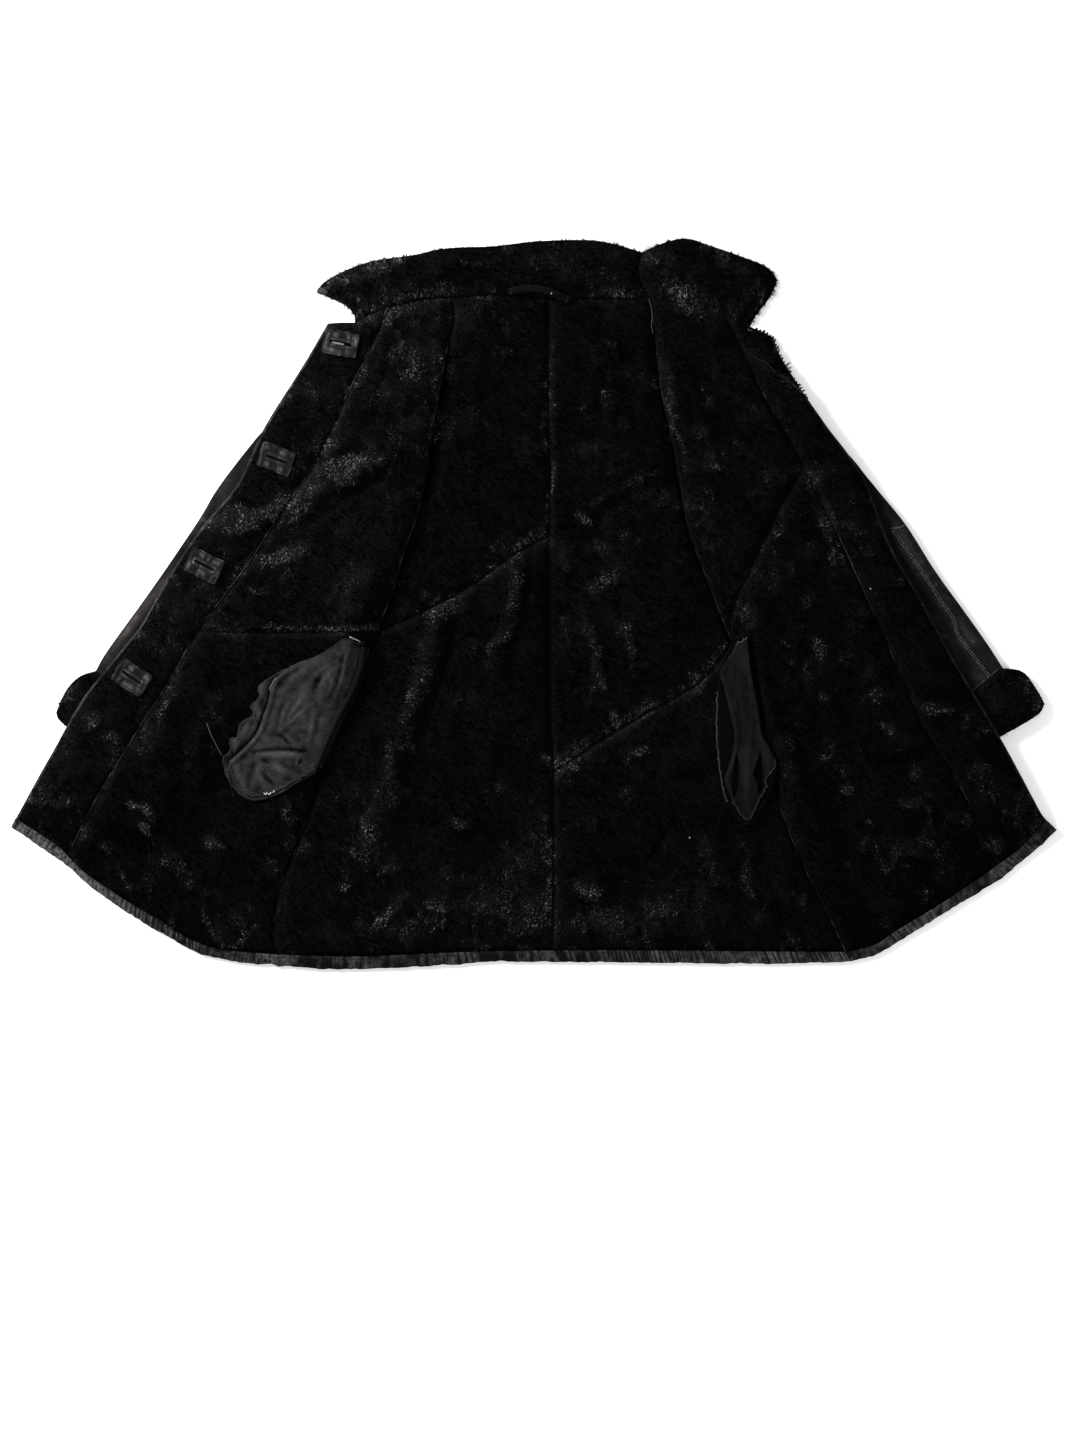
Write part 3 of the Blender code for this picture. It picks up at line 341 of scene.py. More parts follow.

# Places where the wool is brushed up and grey is painted on its tips as sheen: middle, half
# length and half width, turn in degrees and strength
BRUSHED_SHEEN = {
    "cuffs": [
        (-548, 458, 8, 16, 30, 0.8), (-528, 486, 14, 10, 30, 0.6), (-500, 510, 16, 8, 20, 0.5),
        (548, 446, 12, 10, -20, 0.4), (536, 474, 16, 12, -20, 0.2), (500, 500, 16, 8, -20, 0.4),
        (560, 470, 6, 12, 0, 0.6), (514, 462, 30, 20, -20, 0.15)],
    "collar": [
        (-234, -21, 32, 10, -20, 0.4), (-186, -37, 40, 12, -10, 0.4), (-155, -53, 24, 7, 0, 0.4),
        (-84, -41, 32, 10, 0, 0.35), (4, -37, 48, 12, 0, 0.25), (67, -53, 24, 7, 0, 0.3),
        (130, -45, 24, 12, 0, 0.35), (210, -41, 20, 16, 30, 0.3), (241, -1, 10, 20, 0, 0.35),
        (190, -57, 20, 6, 10, 0.35), (-256, -12, 7, 5, -35, 0.75), (-244, 4, 12, 4, 40, 0.7)],
    "neck": [
        (-186, 16, 48, 20, -25, 0.6), (-139, 2, 44, 17, -15, 0.5), (-76, -6, 36, 7, 0, 0.4),
        (87, -8, 48, 8, 0, 0.4), (162, 0, 42, 22, 30, 0.55), (213, 18, 14, 14, 40, 0.35)],
    "right front top": [
        (-156, 74, 22, 32, 10, 0.5), (-177, 62, 10, 22, 15, 0.6), (-129, 101, 8, 24, 0, 0.5),
        (-234, 101, 16, 14, -30, 0.4), (-270, 109, 11, 10, 0, 0.4), (-186, 109, 32, 16, 0, 0.25)],
    "right front breast": [
        (-222, 203, 24, 8, -42, 0.9), (-198, 189, 16, 6, -30, 0.6),
        (-272, 224, 22, 14, -40, 0.6), (-289, 248, 36, 7, -30, 0.6),
        (-250, 177, 22, 14, -30, 0.5), (-153, 173, 8, 6, 0, 0.5), (-353, 261, 40, 10, -14, 0.9),
        (-304, 236, 22, 10, -35, 0.7), (-305, 301, 36, 12, -20, 0.85),
        (-331, 339, 14, 5, 0, 0.5), (-432, 319, 11, 14, -30, 0.45), (-452, 357, 13, 7, -30, 0.5),
        (-468, 388, 14, 7, -30, 0.45), (-392, 355, 24, 11, -30, 0.3)],
    "right front skirt": [
        (-436, 466, 8, 40, 20, 0.45), (-467, 589, 19, 6, 30, 0.8), (-460, 608, 11, 6, 10, 0.5),
        (-388, 630, 13, 10, 20, 0.85), (-375, 724, 17, 17, 40, 0.35),
        (-432, 656, 24, 11, 20, 0.35), (-511, 628, 19, 8, 30, 0.4), (-487, 668, 19, 6, 35, 0.4),
        (-535, 608, 11, 16, 30, 0.4), (-412, 676, 13, 10, 30, 0.4), (-472, 521, 16, 10, 0, 0.35),
        (-392, 688, 24, 6, 40, 0.3)],
    "back top": [
        (-56, 58, 11, 7, 20, 0.35), (-76, 48, 6, 6, 0, 0.3), (-3, 98, 6, 9, 0, 0.75),
        (3, 124, 5, 9, 0, 0.5), (56, 59, 9, 6, 0, 0.3), (37, 125, 10, 6, 0, 0.35),
        (-28, 56, 6, 5, 0, 0.3), (-123, 74, 11, 21, 15, 0.45), (-134, 166, 6, 6, 0, 0.5),
        (-91, 133, 16, 13, 0, 0.2), (83, 149, 16, 13, 0, 0.2)],
    "back waist": [
        (107, 209, 30, 9, -22, 0.35), (67, 227, 17, 6, -25, 0.3), (40, 249, 17, 7, 30, 0.6),
        (83, 272, 30, 7, 24, 0.3), (67, 323, 19, 23, 50, 0.55), (92, 391, 9, 34, -15, 0.5),
        (51, 396, 9, 31, -12, 0.55), (61, 434, 8, 18, -15, 0.45), (-42, 339, 12, 36, 12, 0.4),
        (-62, 400, 7, 10, 12, 0.55), (-115, 355, 19, 13, -30, 0.5), (16, 301, 7, 18, -14, 0.4)],
    "back hem": [
        (-188, 712, 36, 9, -42, 0.65), (-165, 692, 13, 8, 0, 0.6), (-234, 676, 8, 7, 0, 0.9),
        (-122, 703, 16, 16, 0, 0.55),
        (-76, 697, 32, 22, 0, 0.5), (-107, 602, 13, 8, 20, 0.4), (-19, 626, 11, 10, 0, 0.5),
        (4, 631, 8, 7, 0, 0.7), (-57, 562, 11, 10, 0, 0.4), (-12, 707, 48, 32, 0, 0.5),
        (45, 681, 19, 13, 20, 0.6), (61, 713, 38, 19, 0, 0.5), (183, 632, 12, 19, -15, 0.4),
        (191, 665, 11, 14, 0, 0.35), (103, 522, 17, 7, 0, 0.7), (27, 547, 17, 5, -12, 0.6),
        (132, 705, 30, 21, 0, 0.5), (227, 673, 10, 19, -15, 0.6), (243, 707, 11, 13, 0, 0.5),
        (290, 691, 10, 14, 0, 0.4), (4, 532, 10, 6, 0, 0.6), (-186, 656, 11, 16, 20, 0.5),
        (-210, 616, 10, 24, 25, 0.6), (-66, 694, 74, 48, 0, 0.34), (-30, 660, 34, 40, 0, 0.34),
        (70, 722, 80, 22, 0, 0.34), (-150, 722, 60, 22, 0, 0.32), (170, 700, 60, 34, 0, 0.24)],
    "left front top": [
        (178, 119, 6, 16, -8, 0.5), (187, 189, 16, 10, 0, 0.6), (200, 179, 8, 8, 0, 0.4),
        (179, 159, 10, 11, 0, 0.4), (233, 127, 17, 11, 40, 0.3), (289, 98, 8, 11, 20, 0.4),
        (317, 254, 9, 38, -14, 0.55), (330, 299, 8, 21, -14, 0.5), (263, 317, 10, 40, -8, 0.3),
        (370, 230, 9, 14, -20, 0.5), (312, 206, 14, 16, 20, 0.4)],
    "left front skirt": [
        (314, 404, 11, 22, -18, 0.64), (360, 355, 11, 17, -15, 0.32), (384, 458, 14, 10, 0, 0.48),
        (389, 497, 9, 13, -20, 0.5), (400, 325, 10, 17, -20, 0.2), (298, 430, 8, 17, -15, 0.4),
        (344, 418, 10, 19, -15, 0.28), (447, 474, 29, 6, 0, 0.44), (480, 483, 16, 6, 0, 0.25),
        (423, 545, 11, 11, 0, 0.4), (415, 581, 17, 6, 0, 0.48), (344, 570, 8, 6, 30, 0.68),
        (365, 602, 12, 4, 25, 0.56), (465, 594, 17, 11, 0, 0.28), (400, 648, 32, 6, 22, 0.4),
        (431, 629, 13, 6, 20, 0.32), (281, 545, 10, 17, -20, 0.24), (510, 628, 17, 11, 20, 0.28),
        (495, 537, 13, 11, 0, 0.32)],
}
# Long grey bands where a seam or a fold crest is rubbed, with painted sheen: half width, strength,
# line
RUBBED_SHEEN = [
    (8, 0.46, [(-128, 353), (-117, 347), (-84, 327), (-31, 290), (-4, 276)]),
    (9, 0.56, [(14, 540), (62, 506), (117, 473), (175, 440), (205, 404)]),
    (10, 0.48, [(-126, 352), (-136, 402), (-158, 471), (-182, 537), (-200, 600), (-214, 650)]),
    (3, 0.60, [(-256, -10), (-250, -4), (-238, 5), (-227, 14)]),
    (9, 0.44, [(-30, 290), (-36, 316), (-38, 345), (-55, 393), (-61, 415)]),
    (4, 0.62, [(-392, 384), (-343, 383), (-285, 384), (-206, 383)]),
    (3, 0.45, [(-166, 316), (-173, 330), (-186, 356)]),
    (4, 0.55, [(-132, 50), (-128, 120), (-136, 166)]),
    (4, 0.45, [(134, 66), (148, 140), (158, 200)]),
    (4, 0.40, [(240, 330), (252, 290), (276, 240)]),
    (4, 0.45, [(296, 200), (330, 268), (352, 318)]),
    (5, 0.45, [(-190, 22), (-214, 76), (-248, 146), (-288, 222)]),
    (5, 0.50, [(-312, 262), (-350, 318), (-396, 378)]),
    (4, 0.35, [(-408, 394), (-440, 450), (-480, 514), (-520, 582)]),
    (5, 0.45, [(-404, 392), (-380, 388), (-343, 388)]),
    (4, 0.55, [(0, 60), (1, 130), (2, 200), (1, 262)]),
    (7, 0.45, [(0, 590), (1, 650), (0, 738)]),
    (3, 0.35, [(236, 62), (252, 78), (272, 96), (294, 116)]),
    (4, 0.60, [(-402, 702), (-386, 726), (-371, 742), (-354, 737), (-338, 725)]),
    (8, 1.00, [(-400, 260), (-363, 251), (-327, 247), (-302, 238), (-284, 217), (-260, 205),
               (-211, 192)]),
]


# Lines, grids and fields

def smooth(points, count=12):
    """A smooth line through the points, so many steps between each two."""
    points = np.array(points, float)
    ends = np.vstack([2 * points[0] - points[1], points, 2 * points[-1] - points[-2]])
    dense = []
    for before, start, stop, after in zip(ends, ends[1:], ends[2:], ends[3:]):
        for t in np.linspace(0, 1, count, endpoint=False):
            dense.append(0.5 * (2 * start + (stop - before) * t
                                + (2 * before - 5 * start + 4 * stop - after) * t ** 2
                                + (3 * start - before - 3 * stop + after) * t ** 3))
    dense.append(points[-1])
    return np.array(dense)


def smoothed(table):
    """Each line of a table made smooth."""
    return {key: smooth(line) for key, line in table.items()}


def joined(*lines):
    """Lines end to end, each shared point kept once."""
    return np.vstack([lines[0]] + [line[1:] for line in lines[1:]])


def run_of(line):
    """Distance along a line at each of its points."""
    return np.concatenate([[0.0], np.cumsum(np.linalg.norm(np.diff(line, axis=0), axis=1))])


def sampled(line, shares):
    """Points of a line at the given shares of its length."""
    run = run_of(line)
    return np.stack([np.interp(shares * run[-1], run, line[:, k])
                     for k in range(line.shape[1])], axis=1)


def stretch(line, start, stop):
    """The part of a line between two shares of its length."""
    return sampled(line, np.linspace(start, stop, 60))


def stepped(line, step, least):
    """Points along a line about one step apart, at least so many."""
    return sampled(line, np.linspace(0, 1, max(least, int(run_of(line)[-1] / step))))


def headings(line):
    """The direction of a line at each of its points, as steps 1 mm long."""
    way = np.gradient(line, axis=0)
    return way / np.maximum(np.linalg.norm(way, axis=1), 1e-9)[:, None]


def fine_ended(length, step):
    """Shares from 0 to 1 at an even step, with closer ones at both ends."""
    ends = [e for e in END_STEPS if e < length * 0.3]
    first = ends[-1] if ends else 0.0
    count = max(2, round((length - 2 * first) / step))
    middle = np.linspace(first, length - first, count + 1)
    marks = np.concatenate([[0.0], ends[:-1], middle, length - np.array(ends[-2::-1]), [length]]
                           if ends else [middle])
    return marks / length


def fill(head, foot, left, right, s, t):
    """Grid of plan points between four lines at the given shares across and down."""
    top, low = sampled(head, s), sampled(foot, s)
    near, far = sampled(left, t), sampled(right, t)
    s = s[None, :, None]
    t = t[:, None, None]
    grid = (1 - t) * top[None] + t * low[None] + (1 - s) * near[:, None] + s * far[:, None]
    return grid - ((1 - s) * (1 - t) * top[0] + s * (1 - t) * top[-1]
                   + (1 - s) * t * low[0] + s * t * low[-1])


# Points come in a list or in a grid, with x and d last; locks and inside take a list only

def nearest(points, line):
    """Distance from each point to a line, and the nearest point of the line."""
    start, step = line[:-1], np.diff(line, axis=0)
    size = np.maximum((step ** 2).sum(1), 1e-9)
    flat = points.reshape(-1, 2)
    gap = np.full(len(flat), np.inf)
    place = np.zeros((len(flat), 2))
    batch = 4000
    for first in range(0, len(flat), batch):
        part = flat[first:first + batch]
        way = part[:, None] - start[None]
        t = np.clip((way * step[None]).sum(2) / size, 0, 1)
        found = start[None] + step[None] * t[..., None]
        far = np.linalg.norm(found - part[:, None], axis=2)
        k = far.argmin(1)
        row = np.arange(len(part))
        gap[first:first + batch] = far[row, k]
        place[first:first + batch] = found[row, k]
    return gap.reshape(points.shape[:-1]), place.reshape(points.shape)


def bell(share):
    """A soft hump: 1 in the middle and 0 from share 1 outwards."""
    return (1.0 - np.minimum(1.0, np.abs(share)) ** 2) ** 2


def ease(share):
    """A soft step from 0 to 1."""
    share = np.clip(share, 0.0, 1.0)
    return share * share * (3.0 - 2.0 * share)


def scramble(a, b, seed):
    """An even, repeatable number from 0 to 1 for each pair of whole numbers."""
    mask = 0xFFFFFFFF
    value = (a * 374761393 + b * 668265263 + seed * 362437) & mask
    value = ((value ^ (value >> 13)) * 1274126177) & mask
    return ((value ^ (value >> 16)) & 0xFFFF) / 65535.0


def drift(points, size, seed):
    """Soft unevenness between -1 and 1, with patches of about one size in mm."""
    place = points / size
    home = np.floor(place).astype(np.int64)
    x, d = np.moveaxis(ease(place - home), -1, 0)
    total = 0.0
    for i in (0, 1):
        for j in (0, 1):
            share = (x if i else 1 - x) * (d if j else 1 - d)
            total = total + share * scramble(home[..., 0] + i, home[..., 1] + j, seed)
    return total * 2 - 1


def mixed(points, *layers, middle=0.0):
    """Soft unevenness of several sizes round a middle: each layer is its share, size, seed."""
    total = middle
    for share, size, seed in layers:
        total = total + share * drift(points, size, seed)
    return total


def aside(points, seed, size, other=None):
    """Uneven shifts of up to about 1 mm in both directions of the plan."""
    return np.stack([drift(points, size, seed), drift(points, other or size, seed + 1)], -1)


def lane(run, number):
    """Places for the unevenness along a line, apart from those of lines with other numbers."""
    return np.stack([run, np.full(len(run), float(number))], axis=1)


def locks(points, size, seed):
    """Plan middle of the lock of wool that each point belongs to, and a number for that lock."""
    home = np.floor(points / size).astype(np.int64)
    best = np.full(len(points), np.inf)
    middle = np.zeros_like(points)
    number = np.zeros(len(points))
    for i in (-1, 0, 1):
        for j in (-1, 0, 1):
            a, b = home[:, 0] + i, home[:, 1] + j
            spot = np.stack([a + 0.5 + 0.8 * (scramble(a, b, seed) - 0.5),
                             b + 0.5 + 0.8 * (scramble(a, b, seed + 1) - 0.5)], axis=1) * size
            gap = ((points - spot) ** 2).sum(1)
            closer = gap < best
            best[closer] = gap[closer]
            middle[closer] = spot[closer]
            number[closer] = scramble(a, b, seed + 2)[closer]
    return middle, number


def inside(points, ring):
    """True for each point within a closed ring."""
    found = np.zeros(len(points), bool)
    x, y = points[:, 0], points[:, 1]
    for (x1, y1), (x2, y2) in zip(ring, np.roll(ring, -1, axis=0)):
        crosses = (y1 > y) != (y2 > y)
        if y1 != y2:
            found ^= crosses & (x < (x2 - x1) * (y - y1) / (y2 - y1) + x1)
    return found


def crease_lift(points, creases):
    """How far the given creases lift or sink the surface."""
    total = np.zeros(points.shape[:-1])
    for reach, height, line in creases:
        line = smooth(line, 10)
        near = near_box(points, line, reach)
        if near.any():
            gap, place = nearest(points[near], line)
            along = np.linalg.norm(place - line[0], axis=1)
            ends = np.minimum(along, np.linalg.norm(place - line[-1], axis=1))
            fade = CREASE_END + (1 - CREASE_END) * ease(ends / CREASE_FADE)
            total[near] += height * bell(gap / reach) * fade
    return total


def strayed(points, size, by, seed):
    """Points moved out of place unevenly, so that what is drawn there gets ragged edges."""
    return points + by * aside(points, seed, size)


def near_box(points, line, reach):
    """Which points lie in the box round a line, widened by a reach."""
    return ((points > line.min(0) - reach) & (points < line.max(0) + reach)).all(-1)


def turned(points, degrees):
    """Points turned round the origin of the plan."""
    c, s = math.cos(math.radians(degrees)), math.sin(math.radians(degrees))
    x, d = points[..., 0], points[..., 1]
    return np.stack([x * c + d * s, d * c - x * s], axis=-1)


def brushed_sheen_at(points):
    """How strongly the wool is brushed up at each point, from 0 to about 1; this also sets how much
    grey sheen is painted on its tips.
    """
    total = 0.26 * ease((drift(points * (1.0, 0.8), 23.0, 88) + 0.4 * drift(points, 9.0, 89)
                         - 0.20) / 0.7)
    points = strayed(strayed(points, 24.0, 7.0, 61), 8.0, 3.5, 63)
    for rows in BRUSHED_SHEEN.values():
        for x, d, long, wide, turn, strength in rows:
            near = near_box(points, np.array([(x, d)]), BRUSHED_SHEEN_REACH * max(long, wide))
            share = turned(points[near] - (x, d), turn) / (long, wide) / BRUSHED_SHEEN_REACH
            found = strength * bell(np.hypot(share[:, 0], share[:, 1]))
            total[near] = np.maximum(total[near], found)
    for wide, strength, line in RUBBED_SHEEN:
        line = smooth(line, 6)
        near = near_box(points, line, 2 * wide)
        if near.any():
            gap, place = nearest(points[near], line)
            uneven = mixed(place, (0.30, 30.0, 71), (0.2, 9.0, 72), middle=0.72)
            found = strength * uneven * bell(gap / (wide * RUBBED_SHEEN_REACH))
            total[near] = np.maximum(total[near], found)
    return np.clip(total, 0, 1)


def tufts(points):
    """Light and dark of the pile from 0 to 1: short streaks in tufts, few of them bright."""
    points = strayed(points, 26.0, 7.0, 65)
    value = 0.22 * drift(points * (1.0, 0.5), 2.3, 67)
    value = value + 0.50 * drift(points * (1.0, 0.6), 5.5, 68)
    return ease((value + 0.45 * drift(points, 13.0, 69) + 0.14) / 0.85)


def crinkle(points):
    """Relief of the pile in mm, finer than a panel's grid: dimples, and tufts that part."""
    points = strayed(points, 20.0, 5.0, 73)
    return mixed(points, (0.9, 17.0, 31), (0.45, 8.5, 32), (0.15, 4.5, 33))


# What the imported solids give: their tops and undersides

trees = {}
# Where the rays that measure the solids start, and which way they go
FROM_ABOVE = (300.0, Vector((0, 0, -1)))
FROM_BELOW = (-100.0, Vector((0, 0, 1)))


def tree_of(name):
    """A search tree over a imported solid, in plan millimetres."""
    if name not in trees:
        mesh = frame["nodes"][name].data
        corners = np.zeros(len(mesh.vertices) * 3)
        mesh.vertices.foreach_get("co", corners)
        corners = corners.reshape(-1, 3) / MM
        corners = np.stack([corners[:, 0] - ORIGIN_X, ORIGIN_D - corners[:, 1], corners[:, 2]], 1)
        trees[name] = BVHTree.FromPolygons([tuple(c) for c in corners],
                                           [tuple(p.vertices) for p in mesh.polygons])
    return trees[name]


def heights(name, plan, top=True):
    """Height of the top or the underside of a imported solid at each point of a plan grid."""
    tree = tree_of(name)
    out = np.zeros(plan.shape[:2])
    begin, way = FROM_ABOVE if top else FROM_BELOW
    missed = []
    for place in np.ndindex(*out.shape):
        hit = tree.ray_cast(Vector((*plan[place], begin)), way)[0]
        if hit is None:
            missed.append(place)
            out[place] = np.nan
        else:
            out[place] = hit.z
    level = np.nanmean(out)
    for place in missed:
        near = out[max(0, place[0] - 3):place[0] + 4, max(0, place[1] - 3):place[1] + 4]
        guess = np.nanmean(near) if np.isfinite(near).any() else level
        guess += 6.0 if top else -6.0
        out[place] = tree.find_nearest(Vector((*plan[place], guess)))[0].z
    return out


def hits(spot, names, up=False):
    """Heights of the tops, or looking up the undersides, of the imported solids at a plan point."""
    begin, way = FROM_BELOW if up else FROM_ABOVE
    found = [tree_of(name).ray_cast(Vector((*spot, begin)), way)[0] for name in names]
    return [hit.z for hit in found if hit]


def level_at(x, d):
    """Height of the highest packed panel, bag or loop at one plan point."""
    return max(hits((x, d), (*PANELS, *POCKETS, "hanger_loop")))


def evened(values, rounds=4):
    """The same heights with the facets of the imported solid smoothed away."""
    for _ in range(rounds):
        wide = np.pad(values, 1, mode="edge")
        wide[0], wide[-1] = 2 * wide[1] - wide[2], 2 * wide[-2] - wide[-3]
        wide[:, 0] = 2 * wide[:, 1] - wide[:, 2]
        wide[:, -1] = 2 * wide[:, -2] - wide[:, -3]
        around = (wide[:-2, 1:-1] + wide[2:, 1:-1] + wide[1:-1, :-2] + wide[1:-1, 2:]) / 4
        values = values * 0.4 + around * 0.6
    return values


# Meshes

def in_metres(points):
    """Points in the shared frame, in metres, from plan millimetres and heights."""
    points = np.asarray(points, float).reshape(-1, 3)
    return np.stack([points[:, 0] + ORIGIN_X, ORIGIN_D - points[:, 1], points[:, 2]], 1) * MM


def linked(name, data):
    """A new object in the scene."""
    made = bpy.data.objects.new(name, data)
    bpy.context.scene.collection.objects.link(made)
    return made


def mesh_of(name, points, faces, materials, which=None):
    """An object from points in plan mm and faces, with its materials."""
    mesh = bpy.data.meshes.new(name)
    mesh.from_pydata([tuple(p) for p in in_metres(points)], [], [tuple(f) for f in faces])
    for material in materials:
        mesh.materials.append(material)
    if which is not None:
        mesh.polygons.foreach_set("material_index", np.asarray(which, np.int32))
    work = bmesh.new()
    work.from_mesh(mesh)
    bmesh.ops.recalc_face_normals(work, faces=work.faces)
    work.to_mesh(mesh)
    work.free()
    mesh.polygons.foreach_set("use_smooth", np.ones(len(mesh.polygons), bool))
    return linked(name, mesh)


def ring_faces(rings, count, first=0):
    """Quads between rings of points, each with the same count."""
    faces = []
    for k in range(rings - 1):
        for a in range(count):
            at, b = first + k * count, (a + 1) % count
            faces.append((at + a, at + b, at + count + b, at + count + a))
    return faces


def grid_faces(rows, columns, offset=0):
    """Quads over a grid of points."""
    at = np.arange(rows * columns).reshape(rows, columns) + offset
    return np.stack([at[:-1, :-1], at[1:, :-1], at[1:, 1:], at[:-1, 1:]], 2).reshape(-1, 4)


def rim_of(rows, columns):
    """The points around a grid in order, with the side each step lies on."""
    at = np.arange(rows * columns).reshape(rows, columns)
    ring = list(at[0, :-1]) + list(at[:-1, -1]) + list(at[-1, :0:-1]) + list(at[:0:-1, 0])
    sides = (["head"] * (columns - 1) + ["right"] * (rows - 1) + ["foot"] * (columns - 1)
             + ["left"] * (rows - 1))
    return ring, sides


def shell(name, plan, low, top, materials, sides=None, under=None):
    """A closed skin over a grid: top of the first material, underside and rim of the others."""
    rows, columns = plan.shape[:2]
    size = rows * columns
    points = np.vstack([np.dstack([plan, top]).reshape(-1, 3),
                        np.dstack([plan if under is None else under, low]).reshape(-1, 3)])
    upper = grid_faces(rows, columns)
    lower = grid_faces(rows, columns, size)[:, ::-1]
    ring, along = rim_of(rows, columns)
    wall = [(a, b, b + size, a + size) for a, b in zip(ring, ring[1:] + ring[:1])]
    kinds = [(sides or {}).get(side, 1) for side in along]
    faces = [*upper, *lower, *wall]
    which = [0] * len(upper) + [1] * len(lower) + kinds
    return mesh_of(name, points, faces, materials, which)


def normals_of(points):
    """Upward normal at each point of a grid of 3-D points."""
    down = np.gradient(points, axis=0)
    across = np.gradient(points, axis=1)
    normal = np.cross(across, down)
    normal /= np.maximum(np.linalg.norm(normal, axis=2), 1e-9)[..., None]
    return np.where(normal[..., 2:] < 0, -normal, normal)


def tubes(name, lines, radius, material, sides=6, flat=1.0, tones=None):
    """Threads laid along lines of 3-D points, all in one mesh, with tapered ends. The radius
    may be a list, with the radii along each line."""
    points, faces = [], []
    angles = np.arange(sides) * math.tau / sides
    for number, line in enumerate(lines):
        line = np.asarray(line, float)
        way = headings(line)
        out = np.cross(way, (0, 0, 1.0))
        out /= np.maximum(np.linalg.norm(out, axis=1), 1e-6)[:, None]
        rise = np.cross(out, way)
        size = np.full(len(line), radius[number] if isinstance(radius, list) else radius)
        size[[0, -1]] *= 0.55
        ring = (line[:, None] + out[:, None] * (np.cos(angles)[None, :, None] * size[:, None, None])
                + rise[:, None] * (np.sin(angles)[None, :, None] * size[:, None, None] * flat))
        first = sum(len(p) for p in points)
        points.append(ring.reshape(-1, 3))
        faces += ring_faces(len(line), sides, first)
        last = first + (len(line) - 1) * sides
        faces.append(tuple(range(first, first + sides))[::-1])
        faces.append(tuple(range(last, last + sides)))
    piece = mesh_of(name, np.vstack(points), faces, [material])
    if tones is not None:
        mark(piece.data, "tone", np.concatenate([np.repeat(tone, sides) for tone in tones]))
        mark(piece.data, "depth", np.ones(len(piece.data.vertices)))
    return piece


def mark(mesh, name, values):
    """Keeps a number for each point of a mesh, which its material reads."""
    kept = mesh.attributes.new(name, "FLOAT", "POINT")
    kept.data.foreach_set("value", np.asarray(values, np.float32).ravel())


def toned(piece, tone):
    """Keeps how pale a skin is at each point of its grid, above and below."""
    mark(piece.data, "tone", np.tile(tone.ravel(), 2))


def crest_wear_and_hollow_shade(top, rounds, gain, middle=0.45):
    """How pale a surface is, from its height over its own surroundings: high on crests, where it
    wears, and low in hollows, as painted shade.
    """
    return np.clip(middle + gain * (top - evened(top, rounds)), 0, 1)


def cut_away(piece, cutters):
    """Cuts closed shapes out of a piece and removes them."""
    for cutter in cutters:
        cut = piece.modifiers.new("hole", "BOOLEAN")
        cut.operation = "DIFFERENCE"
        cut.solver = "EXACT"
        cut.object = cutter
    graph = bpy.context.evaluated_depsgraph_get()
    name = piece.data.name
    piece.data = bpy.data.meshes.new_from_object(piece.evaluated_get(graph))
    piece.data.name = name
    piece.modifiers.clear()
    for cutter in cutters:
        bpy.data.objects.remove(cutter, do_unlink=True)


# Heights between which a cutter stands to go right through a piece
CUT_THROUGH = (-5.0, 60.0)


def prism(ring, low, high):
    """A closed upright cutter over a ring of plan points."""
    count = len(ring)
    corners = [(x, d, z) for z in (low, high) for x, d in ring]
    walls = [(k, (k + 1) % count, count + (k + 1) % count, count + k) for k in range(count)]
    caps = [tuple(range(count)), tuple(range(2 * count - 1, count - 1, -1))]
    return mesh_of("cutter", corners, walls + caps, [])


def stitch_lines(path, pitch, share, rise):
    """Single stitches along a 3-D path: each a short arch that dips in at both ends."""
    run = run_of(path)
    count = max(1, int(run[-1] / pitch))
    pitch = run[-1] / count
    lines = []
    for k in range(count):
        at = np.linspace(k + (1 - share) / 2, k + (1 + share) / 2, 5) * pitch
        line = np.stack([np.interp(at, run, path[:, axis]) for axis in range(3)], axis=1)
        line[:, 2] += np.array([-0.5, 0.35, 0.6, 0.35, -0.5]) * rise
        lines.append(line)
    return lines


# Materials

TONE = {"attribute_name": "tone"}
DEPTH = {"attribute_name": "depth"}
COLOUR = {"data_type": "RGBA"}
TIMES = {"operation": "MULTIPLY"}
PLUS = {"operation": "ADD"}


def hex_colour(code):
    """A linear colour from its sRGB hex value."""
    channels = [int(code[k:k + 2], 16) / 255 for k in (1, 3, 5)]
    linear = [c / 12.92 if c <= 0.04045 else ((c + 0.055) / 1.055) ** 2.4 for c in channels]
    return (*linear, 1.0)


def patch_scale(millimetres):
    """Scale of a noise or cell texture whose patches are so many mm across."""
    return 1.0 / (millimetres * MM)


def rib_scale(millimetres):
    """Scale of a wave texture whose ribs, and the gaps between them, are so many mm wide."""
    return 0.157 / (millimetres * MM)


def put(tree, kind, settings=None, out=0, **inputs):
    """Adds one node with its settings and links, and gives one of its outputs, or the node
    itself. An input goes by its name, or by i and its number, and is a value, a colour's hex
    value or another node's output."""
    made = tree.nodes.new("ShaderNode" + kind)
    for key, value in (settings or {}).items():
        setattr(made, key, value)
    for key, value in inputs.items():
        numbered = key[0] == "i" and key[1:].isdigit()
        socket = made.inputs[int(key[1:]) if numbered else key.replace("_", " ")]
        if isinstance(value, bpy.types.NodeSocket):
            tree.links.new(value, socket)
        else:
            socket.default_value = hex_colour(value) if isinstance(value, str) else value
    return made if out is None else made.outputs[out]


def start(name, **uniform):
    """A material with its shader and object coordinates in metres."""
    material = bpy.data.materials.new(name)
    material.use_nodes = True
    tree = material.node_tree
    tree.nodes.clear()
    shader = put(tree, "BsdfPrincipled", None, None, **uniform)
    put(tree, "OutputMaterial", None, None, Surface=shader.outputs[0])
    return material, tree, shader, put(tree, "TexCoord", None, "Object")


